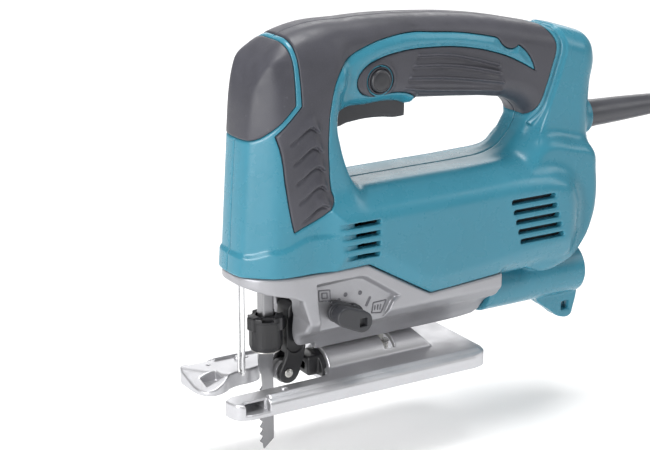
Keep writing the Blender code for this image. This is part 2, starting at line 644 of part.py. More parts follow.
shaft_profile = [(0, 121), (3.5, 121), (3.5, 112), (4.6, 112), (4.6, 104.3), (5.2, 104),
                 (5.2, 89.8), (11, 88.5), (14.5, 86), (16.5, 80), (16.5, 36), (14.5, 30),
                 (10, 27), (5, 26), (5, 9), (4.2, 9), (4.2, -2.6), (5.4, -2.6), (5.4, -7),
                 (4, -7), (4, -15), (2.2, -16), (2.2, -18.5), (0, -18.5)]
armature = turned("armature", shaft_profile, at=(0, 0, MOTOR_Z), axis="x", guide=False, steps=18)
pinion = section("pinion", [gear_loop(PINION_TEETH, 2.0, 2.92, MOTOR_Z, 0.2)], -29, -17.5,
                 smooth=False)
join(armature, pinion)
dress(armature, IRON, (60, 0, MOTOR_Z))
dress(turned("commutator", [(11, 103.7), (11, 93), (13, 91.5), (13, 90.3), (5.5, 90.3),
                            (5.5, 103.7)],
             at=(0, 0, MOTOR_Z), axis="x", guide=False, steps=24), COPPER, (97, 0, MOTOR_Z))
fan = turned("fan", [(8, 8.4), (8, 0.4), (24, 0.4), (24, -2.2), (4.5, -2.2), (4.5, 8.4)],
             at=(0, 0, MOTOR_Z), axis="x", guide=False, steps=24)
vanes = []
for i in range(9):
    vane = block("vane", (0.0, 8.0), (-0.8, 0.8), (9.0, 23.4))
    vane.data.transform(Matrix.Translation((0, 0, MOTOR_Z * MM))
                        @ Matrix.Rotation(2 * math.pi * i / 9, 4, "X"))
    vanes.append(vane)
join(fan, group("fan_vanes", vanes))
dress(fan, BLACK, (3, 0, MOTOR_Z))
dress(turned("bearing_front", [(9.5, -7.6), (9.5, -14.4), (4.3, -14.4), (4.3, -7.6)],
             at=(0, 0, MOTOR_Z), axis="x", guide=False, steps=24), STEEL)
dress(turned("bearing_rear", [(8, 119.6), (8, 112.6), (3.8, 112.6), (3.8, 119.6)],
             at=(0, 0, MOTOR_Z), axis="x", guide=False, steps=24), STEEL)
plate = block("bearing_plate", (-16.4, -8.4), (-19, 19), (72.4, 116), guide=False)
cut(plate, rod("bearing_seat", (-14.9, 0, MOTOR_Z), (0, 0, MOTOR_Z), 9.8, 24))
cut(plate, rod("shaft_hole", (-20, 0, MOTOR_Z), (0, 0, MOTOR_Z), 6.0, 20))
cut(plate, rod("gear_shaft_hole", (-20, 0, GEAR_Z), (0, 0, GEAR_Z), 5.3, 20))
dress(plate, ALUMINIUM)
field = turned("field", [(26.4, 78), (26.4, 40), (17.4, 40), (17.4, 78)],
               at=(0, 0, MOTOR_Z), axis="x", guide=False, steps=36)
dress(field, IRON)
dress(turned("fan_baffle", [(27, 13), (27, 11), (14, 11), (14, 13)],
             at=(0, 0, MOTOR_Z), axis="x", guide=False, steps=32), DARK_GREY)
for sign, word in ((-1, "left"), (1, "right")):
    reach = sorted((sign * 11.4, sign * 23))
    dress(block("brush_" + word, (94, 100), reach, (MOTOR_Z - 2.5, MOTOR_Z + 2.5), False), CARBON)
    reach = sorted((sign * 14.2, sign * 27.5))
    holder = block("brush_holder_" + word, (91.6, 102.4), reach,
                   (MOTOR_Z - 4.8, MOTOR_Z + 4.8), False)
    reach = sorted((sign * 10, sign * 26))
    cut(holder, block("holder_bore_" + word, (93.7, 100.3), reach, (MOTOR_Z - 2.8, MOTOR_Z + 2.8)))
    dress(holder, BRASS)

# ---------------------------------------------------------------- crank gear and plunger guides

crank_y = math.sqrt(CRANK ** 2 - REST_BELOW_MIDDLE ** 2)
crank = section("crank_gear", [gear_loop(GEAR_TEETH, 18.6, 19.76, GEAR_Z, 0.0)], -28, -20,
                smooth=False, guide=False)
join(crank, rod("crank_pin", (-39.7, crank_y, YOKE_Z), (-24, crank_y, YOKE_Z), 4.0, 20))
cut(crank, rod("crank_bore", (-40, 0, GEAR_Z), (-10, 0, GEAR_Z), 5.3, 20))
dress(thin(crank, 0.2), STEEL, (-24, 0, GEAR_Z))
dress(rod("gear_shaft", (-29.5, 0, GEAR_Z), (-9, 0, GEAR_Z), 5.0, 20, False), STEEL)


def bush(name, z0, z1, radius):
    obj = rod(name, (PLUNGER_X, 0, z0), (PLUNGER_X, 0, z1), radius, 24, False)
    free = REACH + 0.35
    cut(obj, block(name + "_bore", (PLUNGER_X - free, PLUNGER_X + free), (-free, free),
                   (z0 - 1, z1 + 1)))
    return dress(obj, BRONZE)


bush("lower_bush", 63.2, 70.6, 7.6)
bush("upper_bush", 133.5, 141.5, 9.0)

# ---------------------------------------------------------------- base

NOSE = 8.0
BASE_LOOP = [(-BASE_HALF_LENGTH, 24), (-BASE_HALF_LENGTH, 29), (-79, 34.4), (-73, BASE_HALF_WIDTH),
             (72, BASE_HALF_WIDTH), (79, 34), (BASE_HALF_LENGTH, 27)]
NOTCH = [(-BASE_HALF_LENGTH, 24), (-77, NOTCH_HALF_WIDTH), (-21, NOTCH_HALF_WIDTH),
         (-15.4, 18), (NOTCH_END, 12)]
base_points = (BASE_LOOP + [(x, -y) for x, y in reversed(BASE_LOOP)]
               + [(x, -y) for x, y in NOTCH[1:]] + [(x, y) for x, y in reversed(NOTCH[1:])])
base = plan("base_plate", [base_points], 0, BASE_TOP, smooth=False, rounding=0.8, guide=False)
saddle = rod("saddle", (-11, 0, BEVEL_Z), (57, 0, BEVEL_Z), SADDLE_RADIUS, 64)
cut(saddle, block("saddle_low", (-20, 70), (-30, 30), (-20, 2)))
saddle = bake(saddle)
join(base, saddle)
for sign, word in ((-1, "left"), (1, "right")):
    ridge = sorted((sign * 30.6, sign * 33.6))
    join(base, block("ridge_" + word, (-74, 77), ridge, (6, BASE_RIDGE), bevel=0.5, segments=1))
    edge = sorted((sign * 34.8, sign * 38))
    cut(base, block("edge_" + word, (-90, 90), edge, (8, 12)))
cut(base, rod("saddle_hollow", (12, 0, BEVEL_Z), (54, 0, BEVEL_Z), 11.2, 40))
cut(base, block("sole_window", (11.9, 54.1), (-11.1, 11.1), (-3, BEVEL_Z + 1)))
cut(base, block("bevel_slot", (26.6, 33.4), (-11.8, 11.8), (7, 26)))
for sign, word in ((-1, "left"), (1, "right")):
    pocket = sorted((sign * 23.5, sign * 29))
    cut(base, block("prong_pocket_" + word, (-74, -60), pocket, (4, 14), bevel=0.8, segments=1))
dress(base, ALUMINIUM, (0, 0, BEVEL_Z))
nozzle = block("dust_nozzle", (-21, -13.4), (-7.2, 7.2), (4, 15.4), guide=False, bevel=1.2,
               segments=1)
cut(nozzle, block("nozzle_mouth", (-23, -15.4), (-5, 5), (6, 13)))
dress(nozzle, BLACK, (0, 0, BEVEL_Z))
bolt = turned("base_bolt", [(0, 33), (2.7, 33), (2.7, 12), (5.4, 12), (5.4, 6.6), (2.6, 6.6),
                            (2.6, 9.6), (0, 9.6)], at=(BOLT_X, 0, 0), guide=False, steps=16)
dress(bolt, ZINC)
dress(turned("bolt_washer", [(5.8, 13.7), (5.8, 12.3), (3.0, 12.3), (3.0, 13.7)],
             at=(BOLT_X, 0, 0), guide=False, steps=24), ZINC)

# ---------------------------------------------------------------- cord

guard = turned("cord_guard", [(0, GUARD_END), (5.4, GUARD_END), (6.2, GUARD_END - 1.2),
                              (7.9, GUARD_START + 5), (8.6, GUARD_START + 2.5),
                              (8.6, GUARD_START), (7.6, GUARD_START), (7.6, 163.9),
                              (9.8, 163.9), (9.8, 159.2), (0, 159.2)],
               at=(0, 0, CORD_Z), axis="x", guide=False, steps=16)
dress(guard, CORD_BLACK)

ROUTE = [(GUARD_END + GAP, 0, CORD_Z), (242, 0, 127.9), (253, -0.6, 125), (263, -2, 118.2),
         (270.5, -4, 108), (274.2, -6.5, 93.5), (275.4, -9.5, 75), (275.8, -13, 55),
         (275.9, -16.8, 35), (275.9, -20, 15), (275.9, -21.8, 0), (275.9, -22, -8.4),
         (275.9, -20.1, -19.3), (275.9, -14.5, -29), (275.9, -6, -36.1), (275.9, 1.7, -39.3),
         (275.9, 10, FLOOR + CORD_RADIUS + 0.3)]


def smooth_route(points, spacing):
    """Points along a Catmull-Rom curve through the route, about `spacing` apart."""
    guides = [Vector(p) for p in points]
    guides = [2 * guides[0] - guides[1]] + guides + [2 * guides[-1] - guides[-2]]
    dense = []
    for i in range(1, len(guides) - 2):
        a, b, c, d = guides[i - 1:i + 3]
        for step in range(24):
            t = step / 24.0
            dense.append(0.5 * ((2 * b) + (c - a) * t + (2 * a - 5 * b + 4 * c - d) * t ** 2
                                + (3 * b - a - 3 * c + d) * t ** 3))
    dense.append(guides[-2])
    total = sum((q - p).length for p, q in zip(dense, dense[1:]))
    count = round(total / spacing)
    wanted = [total * k / count for k in range(count + 1)]
    result = []
    walked = 0.0
    k = 0
    for p, q in zip(dense, dense[1:]):
        length = (q - p).length
        while k <= count and wanted[k] <= walked + length + 1e-6:
            result.append(p.lerp(q, min(1.0, (wanted[k] - walked) / length)))
            k += 1
        walked += length
    return result


cord = bpy.data.curves.new("power_cord", "CURVE")
cord.dimensions = "3D"
cord.bevel_depth = CORD_RADIUS * MM
cord.bevel_resolution = 2
cord.use_fill_caps = True
cord_points = smooth_route(ROUTE, 10.0)
spline = cord.splines.new("POLY")
spline.points.add(len(cord_points) - 1)
for point, knot in zip(cord_points, spline.points):
    knot.co = (point.x * MM, point.y * MM, point.z * MM, 1.0)
dress(bake(link(bpy.data.objects.new("power_cord", cord), False)), CORD_BLACK)

COIL_LOW = FLOOR + 1.5
COIL_HIGH = COIL_LOW + 22.5
coil = turned("cord_coil", [(COIL_INNER + 3, COIL_HIGH), (COIL_OUTER - 3, COIL_HIGH),
                            (COIL_OUTER, COIL_HIGH - 3), (COIL_OUTER, COIL_LOW + 3),
                            (COIL_OUTER - 3, COIL_LOW), (COIL_INNER + 3, COIL_LOW),
                            (COIL_INNER, COIL_LOW + 3), (COIL_INNER, COIL_HIGH - 3)],
              at=(COIL_X, COIL_Y, 0), guide=False, steps=36)
dress(coil, CORD_BLACK)
tie = block("cord_tie", (COIL_X + COIL_INNER - 2.2, COIL_X + COIL_OUTER + 1.6),
            (COIL_Y - 4, COIL_Y + 4), (FLOOR, COIL_HIGH + 1.6), guide=False)
cut(tie, block("tie_inside", (COIL_X + COIL_INNER - 0.9, COIL_X + COIL_OUTER + 0.4),
               (COIL_Y - 9, COIL_Y + 9), (COIL_LOW - 0.3, COIL_HIGH + 0.3)))
dress(tie, BLACK)
PLUG_Y = COIL_Y - (COIL_INNER + COIL_OUTER) / 2.0
PLUG_Z = COIL_HIGH + 8.6
PLUG_LOOP = [(15, -4), (-4, -5.5), (-12, -12.5), (-26, -13), (-26, 13), (-12, 12.5), (-4, 5.5),
             (15, 4)]
plug = plan("plug", [[(x + COIL_X, y + PLUG_Y) for x, y in PLUG_LOOP]], PLUG_Z - 8, PLUG_Z + 8,
            smooth=False, rounding=2.0, guide=False)
dress(plug, BLACK)
for sign, word in ((-1, "a"), (1, "b")):
    dress(rod("plug_pin_" + word, (COIL_X - 26.3, PLUG_Y + sign * 9.5, PLUG_Z),
              (COIL_X - 45, PLUG_Y + sign * 9.5, PLUG_Z), 2.0, 12, False), BRASS)
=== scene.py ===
"""Visual model of the top-handle jigsaw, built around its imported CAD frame.

The moulded and cast pieces are signed distance fields on a fine grid, meshed
with surface nets. Lengths are millimetres until a mesh is made, then metres.
Origin at the middle of the sole, +X to the rear, -Y the selector side, +Z up.
"""
import json
from math import atan2, ceil, cos, hypot, pi, radians, sin, tan

import bmesh
import bpy
import numpy as np
from mathutils import Matrix, Vector
from numpy import maximum, minimum

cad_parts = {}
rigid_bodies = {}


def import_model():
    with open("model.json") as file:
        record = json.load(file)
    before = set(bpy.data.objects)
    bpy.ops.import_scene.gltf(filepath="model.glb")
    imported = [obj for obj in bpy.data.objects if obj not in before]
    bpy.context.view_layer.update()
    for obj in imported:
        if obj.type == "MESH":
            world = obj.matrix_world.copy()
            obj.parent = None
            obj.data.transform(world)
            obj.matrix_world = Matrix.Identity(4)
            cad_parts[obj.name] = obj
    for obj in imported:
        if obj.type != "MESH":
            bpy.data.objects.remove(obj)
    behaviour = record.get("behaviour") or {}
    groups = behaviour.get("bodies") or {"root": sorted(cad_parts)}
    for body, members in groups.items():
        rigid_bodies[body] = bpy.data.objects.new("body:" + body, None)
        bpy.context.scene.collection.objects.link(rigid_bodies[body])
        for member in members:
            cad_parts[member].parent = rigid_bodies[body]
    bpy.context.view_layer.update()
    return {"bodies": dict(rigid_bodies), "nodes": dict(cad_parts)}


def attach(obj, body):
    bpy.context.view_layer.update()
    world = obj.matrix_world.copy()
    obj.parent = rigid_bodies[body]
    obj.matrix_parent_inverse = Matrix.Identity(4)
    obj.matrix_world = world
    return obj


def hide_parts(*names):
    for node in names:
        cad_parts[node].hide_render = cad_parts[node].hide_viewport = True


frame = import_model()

MM = 0.001
COARSE = 1
scene = bpy.context.scene
nodes = frame["nodes"]
FRAME = "frame" if "frame" in frame["bodies"] else "root"

# -------- camera


def add_object(name, data):
    obj = bpy.data.objects.new(name, data)
    scene.collection.objects.link(obj)
    return obj


camera = add_object("camera", bpy.data.cameras.new("camera"))
scene.camera = camera
camera.data.sensor_width = 36
camera.data.lens = 100.42
azimuth, elevation = radians(-31.09), radians(17.29)
back = Vector((sin(azimuth) * cos(elevation),
               -cos(azimuth) * cos(elevation), sin(elevation)))
camera.location = Vector((-0.00576, 0, 0.08788)) + back * 0.99464
camera.rotation_mode = "QUATERNION"
camera.rotation_quaternion = (-back).to_track_quat("-Z", "Y")
camera.data.clip_start = 0.05
camera.data.clip_end = 50
scene.view_settings.view_transform = "Standard"

# -------- dimensions

FLOOR = -44.5
CORD_Z = 128
CORD_RADIUS = 3.8
PLUNGER_X = -43.7
BEVEL_Z = 5
LEVER_X, LEVER_Z = -4, 42.6
PANEL_Y = -24.6
LOCK_X, LOCK_Z = 17.3, 169.7
COIL_X, COIL_Y = 332, 10
SKIN = 2.2                      # thickness of the elastomer
WALL = 5.2                      # from the outer form to the hollow inside
SPLIT = 0.12                    # half the gap between the housing halves
HANDLE_HALF, HANDLE_ROUND = 18.5, 12
HEAD_HALF, HEAD_ROUND = 27.5, 8
BARREL_HALF = 33.2
REAR_HALF, REAR_ROUND = 25.5, 6
PORT_Z, PORT_RADIUS, PORT_BORE = 35, 15.5, 13
SOLE_TOP, SADDLE_RADIUS = 9, 14.3

HANDLE = [(-52, 172), (-42, 190), (-28, 199), (6, 201.8), (50, 200.4), (90, 195.8), (130, 187.4),
          (152, 182.4), (163, 177), (167.4, 167), (165.6, 150), (165, 125), (166.3, 95),
          (164, 76), (150, 68), (60, 72), (-30, 86), (-50, 110), (-54, 145)]
FINGER = [(-6, 128), (-8, 144), (-4, 152.6), (14, 155.2), (34, 154.6), (38.5, 152.8),
          (42, 152.6, 1), (45.5, 155.3, 1), (75, 152.5), (97, 149.8),
          (109, 147), (117.5, 142), (121, 136), (118.5, 128.5), (113, 122), (105, 115),
          (88, 106), (20, 104), (0, 110)]
HEAD = [(-67.5, 60, 1), (-66, 74), (-64.5, 100), (-62.5, 130), (-61, 150), (-58.5, 168),
        (-53, 181), (-45, 190.5), (-36, 196), (-22, 198), (-9, 194), (-7, 180), (-9, 163),
        (-11, 150), (-9, 138), (-5, 125), (1, 112), (3, 90), (0, 60, 1)]
HEAD_PLAN = [(-65.2, 0), (-63.8, 8), (-60, 15), (-53, 21.2), (-44, 25.6), (-32, 27.8), (-5, 29),
             (40, 30, 1)]
HEAD_ACROSS = [(0, 199.5), (10, 198), (19, 190), (23.5, 176), (26, 160), (27.5, 142),
               (28.9, 120), (29.3, 50, 1)]
BARREL = [(-26, 113, 1), (20, 113.4), (70, 113.6), (118, 113.4), (136, 110.5), (148, 103.5),
          (154, 92), (155.5, 76), (153, 60), (147, 50), (120, 46.8), (99, 46.4, 1), (96, 34, 1),
          (46, 30, 1), (-26, 56, 1)]
CREASE = [(-40, 84), (8, 79), (24, 69.9), (31, 65), (41, 59.4), (49, 58.2), (71, 59.6),
          (106, 62.6), (150, 66), (200, 70, 1), (200, 220, 1), (-40, 220, 1)]
REAR = [(120, 118), (152, 118), (163, 113), (165.8, 100), (166.4, 82), (164.2, 71), (157.5, 57.5),
        (146, 47.5), (120, 48)]
PARTING = [(-90, 71.2), (5, 71.2), (46, 47.6), (96, 50.6), (96, 0), (-90, 0)]
GRIP = [(-39.9, 95.4, 1), (-41.4, 102), (-44.4, 121), (-46.4, 139), (-48.7, 148.2, 1),
        (-34.1, 162.9, 1), (-34.4, 178), (-35.3, 192), (-36.8, 206, 1), (20, 212, 1),
        (100, 208, 1), (127.6, 197, 1), (131.4, 186.5), (134.9, 180.7), (136, 175), (133.2, 164),
        (127.8, 148.4), (124.2, 139.5), (118.5, 134), (110, 133.4), (99, 136), (90, 140, 1),
        (60, 146, 1), (44, 150, 1), (42.2, 157.6, 1), (36, 160.4), (22, 161.8), (10.5, 162),
        (5, 165.2), (3.4, 169.8), (6.1, 175.6), (14.4, 180.4), (31.4, 184), (48.8, 184.2),
        (72.4, 181.9), (97, 175.5), (110, 169.8), (121.6, 163.4, 1), (118.6, 170),
        (114.4, 175.4), (109.4, 179.4, 1), (106.4, 177.7), (102.4, 178), (98, 180.8),
        (95, 184.4), (92.4, 185.6, 1), (80, 188.4), (68.4, 190.5), (53, 192.2), (38.2, 193.6),
        (21.7, 192.3), (9.4, 189.4), (-2.7, 184), (-10.7, 176.6), (-16.2, 163), (-18.6, 145.5),
        (-18.7, 128), (-17.8, 116.3), (-16.4, 111.2), (-17.6, 107.6)]
CAP = [(-41, 206, 1), (-39.2, 197), (-38, 189), (-37.5, 174), (-37.6, 163.6, 1), (-50.4, 150.6),
       (-57, 145.8), (-66, 144.4), (-80, 144.4, 1), (-80, 206, 1)]
STRIPE = [(3.4, 168), (-2, 150), (-10, 165), (-10.7, 177), (-2.7, 184), (9.4, 189.4),
          (21.7, 192.3), (38.2, 193.6), (53, 192.2), (68.4, 190.5), (92.4, 185.6, 1), (97, 181.2),
          (104, 177.8), (109.4, 179.4, 1), (121.6, 163.4, 1), (97, 175.5), (72.4, 181.9),
          (48.8, 184.2), (31.4, 184), (14.4, 180.4), (6.3, 175.6)]
POST = [(136.5, 206, 1), (138.6, 188.4), (141.8, 181.6), (143, 175.6), (140, 163.4),
        (134.6, 148), (131, 138.6), (126.6, 126, 1), (126, 112, 1), (175, 112, 1), (175, 206, 1)]
GEAR = [(-66.6, 71), (-65.2, 65.8), (-54, 61.8), (-40.5, 59), (-35.6, 56.6), (-33.4, 50),
        (-31.2, 43), (-32.4, 34), (-30.5, 25), (-27, 18), (66, 18), (80, 19.2), (90, 20.4),
        (94.4, 23), (95.7, 27.5), (95.7, 50.3), (46, 47.4), (5, 71)]
GEAR_PLAN = [(-66.9, 0), (-65.4, 8), (-61.6, 15), (-54.6, 21.2), (-45, 25.6), (-32, 27.9),
             (-5, 28.6), (110, 29, 1)]
FLANK = [(0, 5, 1), (7.3, 5, 1), (7.3, 19.5), (11, 28), (17, 33), (23.6, 36.5), (28.2, 41),
         (45, 42, 1), (45, 90, 1), (0, 90, 1)]
RECESS = [(-27.4, 65.5), (-0.8, 65.9), (4, 64.9), (26.4, 50.2), (21.6, 46.8), (16.8, 38.4),
          (6.7, 36), (-15.6, 34.4), (-23.2, 34.2), (-25.3, 46.5)]
KEY = [(138, 21), (150, 10), (157.5, 4.8), (165, 4.8), (166.6, 8), (166.6, 26), (138, 26)]
KEY_HOLE = [(158, 9.2), (163.4, 9.2), (163.4, 14.4), (158, 14.4)]
SCREWS = [(-24, 186, 15), (84, 172, 12), (152, 166, 13), (-21, 140, 20), (148, 92, 27),
          (146, 62, 25)]
REAR_SLOTS = [(97, 92.9), (98.6, 86.9), (100.4, 80.9), (102.2, 74.9), (104, 69)]
FRONT_SLOTS = [(-5, 96), (-4, 90), (-3, 84), (-2, 77.8)]


# -------- distance fields

def trace(points, closed=True, step=0.7):
    """Points along a smooth curve through the given ones; a third value makes a corner."""
    p = np.array([q[:2] for q in points], float)
    n = len(p)
    ahead = np.zeros((n, 2))
    behind = np.zeros((n, 2))
    for i in range(n):
        corner = len(points[i]) > 2 or (not closed and i in (0, n - 1))
        to_next = p[(i + 1) % n] - p[i]
        to_last = p[i] - p[i - 1]
        a, b = np.hypot(*to_last) + 1e-9, np.hypot(*to_next) + 1e-9
        if corner:
            ahead[i], behind[i] = p[i] + to_next / 3, p[i] - to_last / 3
        else:
            along = to_next / b + to_last / a
            along /= np.hypot(*along) + 1e-9
            ahead[i], behind[i] = p[i] + along * b * 0.3904, p[i] - along * a * 0.3904
    out = []
    for i in range(n if closed else n - 1):
        j = (i + 1) % n
        count = max(2, int(ceil(np.hypot(*(p[j] - p[i])) / step)))
        t = np.arange(count)[:, None] / count
        out.append((1 - t) ** 3 * p[i] + 3 * (1 - t) ** 2 * t * ahead[i]
                   + 3 * (1 - t) * t ** 2 * behind[j] + t ** 3 * p[j])
    if not closed:
        out.append(p[-1:])
    return np.concatenate(out)


def distance(points, u, v, closed=True):
    """Distance in the plane from a polyline, negative inside a closed one."""
    a = points if closed else points[:-1]
    b = np.roll(points, -1, 0) if closed else points[1:]
    m = len(a)
    stride = max(1, int(round(2 / (u[1] - u[0]))))
    uc, vc = u[::stride].astype(float), v[::stride].astype(float)
    middle = (a + b) / 2
    gap = (uc[:, None, None] - middle[:, 0]) ** 2 + (vc[None, :, None] - middle[:, 1]) ** 2
    nearest = gap.argmin(2)
    rows, columns = [minimum((np.arange(len(w)) + stride // 2) // stride, (len(w) - 1) // stride)
                     for w in (u, v)]
    near = nearest[rows][:, columns]
    best = np.full(near.shape, 1e9)
    reach = min(7, m // 2)
    for offset in range(-reach, reach + 1):
        s = (near + offset) % m if closed else np.clip(near + offset, 0, m - 1)
        ax, ay = a[s, 0], a[s, 1]
        ex, ey = b[s, 0] - ax, b[s, 1] - ay
        px, py = u[:, None] - ax, v[None, :] - ay
        t = np.clip((px * ex + py * ey) / (ex * ex + ey * ey + 1e-12), 0, 1)
        best = minimum(best, (px - t * ex) ** 2 + (py - t * ey) ** 2)
    best = np.sqrt(best)
    if closed:
        inside = np.zeros(best.shape, bool)
        for j, level in enumerate(v):
            c = (a[:, 1] > level) != (b[:, 1] > level)
            if c.any():
                xs = np.sort(a[c, 0] + (level - a[c, 1]) / (b[c, 1] - a[c, 1])
                             * (b[c, 0] - a[c, 0]))
                inside[:, j] = np.searchsorted(xs, u) % 2 == 1
        best = np.where(inside, -best, best)
    return best.astype(np.float32)


class Grid:
    """A regular grid of sample points, and the plane fields drawn on it."""

    def __init__(self, x, y, z, step):
        self.step = step * COARSE
        self.axes = [np.arange(lo, hi + self.step, self.step, dtype=np.float32)
                     for lo, hi in (x, y, z)]
        self.x = self.axes[0].reshape(-1, 1, 1)
        self.y = self.axes[1].reshape(1, -1, 1)
        self.z = self.axes[2].reshape(1, 1, -1)
        self.low = np.array([a[0] for a in self.axes], float)

    def flat(self, points, plane="xz", smooth=True, closed=True):
        """A drawn outline, or an open line, as a field over one plane."""
        i, j = {"xz": (0, 2), "yz": (1, 2), "xy": (0, 1)}[plane]
        u, v = self.axes[i], self.axes[j]
        path = trace(points, closed) if smooth else densify(points, closed)
        shape = [1, 1, 1]
        shape[i], shape[j] = len(u), len(v)
        return distance(path, u, v, closed).reshape(shape)


def densify(points, closed=True):
    return trace([(*p[:2], 1) for p in points], closed, 1.5)


def smin(a, b, k):
    h = maximum(k - abs(a - b), 0) / k
    return minimum(a, b) - h * h * (k * 0.25)


def smax(a, b, k):
    h = maximum(k - abs(a - b), 0) / k
    return maximum(a, b) + h * h * (k * 0.25)


def rounded(a, b, r):
    """Where both fields are inside, with the edge between them rounded."""
    return (minimum(maximum(a, b) + r, 0)
            + np.sqrt(maximum(a + r, 0) ** 2 + maximum(b + r, 0) ** 2) - r)


def slab(v, lo, hi):
    return abs(v - (lo + hi) / 2) - (hi - lo) / 2


def box(g, x, y, z, r=0.3):
    qx, qy, qz = slab(g.x, *x) + r, slab(g.y, *y) + r, slab(g.z, *z) + r
    return (minimum(maximum(maximum(qx, qy), qz), 0)
            + np.sqrt(maximum(qx, 0) ** 2 + maximum(qy, 0) ** 2
                      + maximum(qz, 0) ** 2) - r)


def cylinder(g, axis, centre, radius, lo, hi, r=0.3):
    v = {"x": (g.y, g.z, g.x), "y": (g.x, g.z, g.y), "z": (g.x, g.y, g.z)}[axis]
    return rounded(radius_from(v[0], v[1], centre) - radius,
                   slab(v[2], lo, hi), r)


def radius_from(u, v, centre):
    return np.sqrt((u - centre[0]) ** 2 + (v - centre[1]) ** 2)


def ramp(v, lo, hi):
    t = np.clip((v - lo) / (hi - lo), 0, 1)
    return t * t * (3 - 2 * t)


def mirrored(points):
    return points + [(-p[0], *p[1:]) for p in reversed(points) if p[0] > 0.01]


def both_sides(points):
    return points + [(p[0], -p[1], *p[2:]) for p in reversed(points) if p[1] > 0.01]


def leaning(g, points, tangent, level):
    """A plan outline that leans back with height."""
    u = np.arange(g.axes[0][0] - 12, g.axes[0][-1] + 12, g.step, dtype=np.float32)
    table = distance(trace(both_sides(points)), u, g.axes[1])
    at = (g.x - (g.z - level) * tangent - u[0]) / g.step
    i = np.clip(np.floor(at).astype(np.int32), 0, len(u) - 2)
    t = (at - i).astype(np.float32)
    j = np.arange(len(g.axes[1])).reshape(1, -1, 1)
    return table[i, j] * (1 - t) + table[i + 1, j] * t


# -------- surface nets

CORNERS = [(i, j, k) for i in (0, 1) for j in (0, 1) for k in (0, 1)]


def trilinear(field, p):
    shape = np.array(field.shape)
    i = np.clip(np.floor(p).astype(np.int64), 0, shape - 2)
    f = (p - i).T
    base = (i[:, 0] * shape[1] + i[:, 1]) * shape[2] + i[:, 2]
    flat = field.ravel()
    value = 0
    slope = np.zeros((3, len(p)))
    for c in CORNERS:
        d = flat[base + (c[0] * shape[1] + c[1]) * shape[2] + c[2]]
        w = [f[n] if c[n] else 1 - f[n] for n in range(3)]
        s = [1 if c[n] else -1 for n in range(3)]
        value = value + d * w[0] * w[1] * w[2]
        slope[0] += d * s[0] * w[1] * w[2]
        slope[1] += d * s[1] * w[0] * w[2]
        slope[2] += d * s[2] * w[0] * w[1]
    return value, slope.T


def surface_nets(field, rounds=3):
    """Vertices in grid units and quads of the surface where the field is zero."""
    field = np.pad(field.astype(np.float32), 1, constant_values=9)
    inside = field < 0
    count = np.zeros(tuple(n - 1 for n in field.shape), np.uint8)
    for i, j, k in CORNERS:
        count += inside[i:i + count.shape[0], j:j + count.shape[1], k:k + count.shape[2]]
    cells = np.argwhere((count > 0) & (count < 8))
    index = np.full(count.shape, -1, np.int64)
    index[tuple(cells.T)] = np.arange(len(cells))
    corner = [field[tuple((cells + np.array(c)).T)] for c in CORNERS]
    total = np.zeros((len(cells), 3))
    crossed = np.zeros(len(cells))
    for a in range(8):
        for b in range(a + 1, 8):
            ca, cb = np.array(CORNERS[a]), np.array(CORNERS[b])
            if abs(ca - cb).sum() == 1:
                da, db = corner[a], corner[b]
                cross = (da < 0) != (db < 0)
                t = np.where(cross, da / np.where(cross, da - db, 1), 0)
                total += np.where(cross[:, None], ca + t[:, None] * (cb - ca), 0)
                crossed += cross
    points = cells + total / crossed[:, None]
    quads = []
    for axis in range(3):
        lo = [slice(1, -1)] * 3
        hi = [slice(1, -1)] * 3
        lo[axis], hi[axis] = slice(0, -1), slice(1, None)
        first, second = inside[tuple(lo)], inside[tuple(hi)]
        edge = np.argwhere(first != second)
        flip = second[tuple(edge.T)]
        du, dv = np.roll(np.eye(3, dtype=int), -axis, 0)[1:]
        edge += du + dv
        quad = np.stack([index[tuple((edge - du - dv).T)], index[tuple((edge - dv).T)],
                         index[tuple(edge.T)], index[tuple((edge - du).T)]], 1)
        quad[flip] = quad[flip][:, ::-1]
        quads.append(quad)
    quads = np.concatenate(quads)
    n = len(points)
    for step in range(rounds):
        weight = np.zeros(n)
        around = np.zeros((n, 3))
        for a, b in ((0, 1), (1, 2), (2, 3), (3, 0)):
            for s, t in ((a, b), (b, a)):
                weight += np.bincount(quads[:, s], minlength=n)
                for c in range(3):
                    around[:, c] += np.bincount(quads[:, s], points[quads[:, t], c], n)
        points += 0.5 * (around / weight[:, None] - points)
        for again in range(2):
            value, slope = trilinear(field, points)
            size = maximum((slope ** 2).sum(1), 0.05)
            move = -(value / size)[:, None] * slope
            length = np.linalg.norm(move, axis=1)
            points += move * minimum(1, 0.5 / maximum(length, 1e-9))[:, None]
    return points - 1, quads


def carve(name, grid, field):
    """An object from a field on a grid, in metres."""
    field = np.broadcast_to(field, tuple(len(a) for a in grid.axes)) / grid.step
    points, quads = surface_nets(field)
    points = (points * grid.step + grid.low) * MM
    mesh = bpy.data.meshes.new(name)
    mesh.vertices.add(len(points))
    mesh.vertices.foreach_set("co", points.astype(np.float32).ravel())
    mesh.loops.add(quads.size)
    mesh.loops.foreach_set("vertex_index", quads.astype(np.int32).ravel())
    mesh.polygons.add(len(quads))
    mesh.polygons.foreach_set("loop_start", np.arange(0, quads.size, 4, dtype=np.int32))
    mesh.update(calc_edges=True)
    mesh.validate()
    mesh.shade_smooth()
    return add_object(name, mesh)


def from_bmesh(name, bm):
    bmesh.ops.recalc_face_normals(bm, faces=bm.faces)
    mesh = bpy.data.meshes.new(name)
    bm.to_mesh(mesh)
    bm.free()
    return add_object(name, mesh)


def place(obj, body, mat, slot, *replaced):
    """Dress a finished piece and tie it to its body."""
    obj.data.materials.clear()
    obj.data.materials.append(mat)
    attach(obj, body)
    if replaced:
        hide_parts(*replaced)
    return obj


# -------- materials

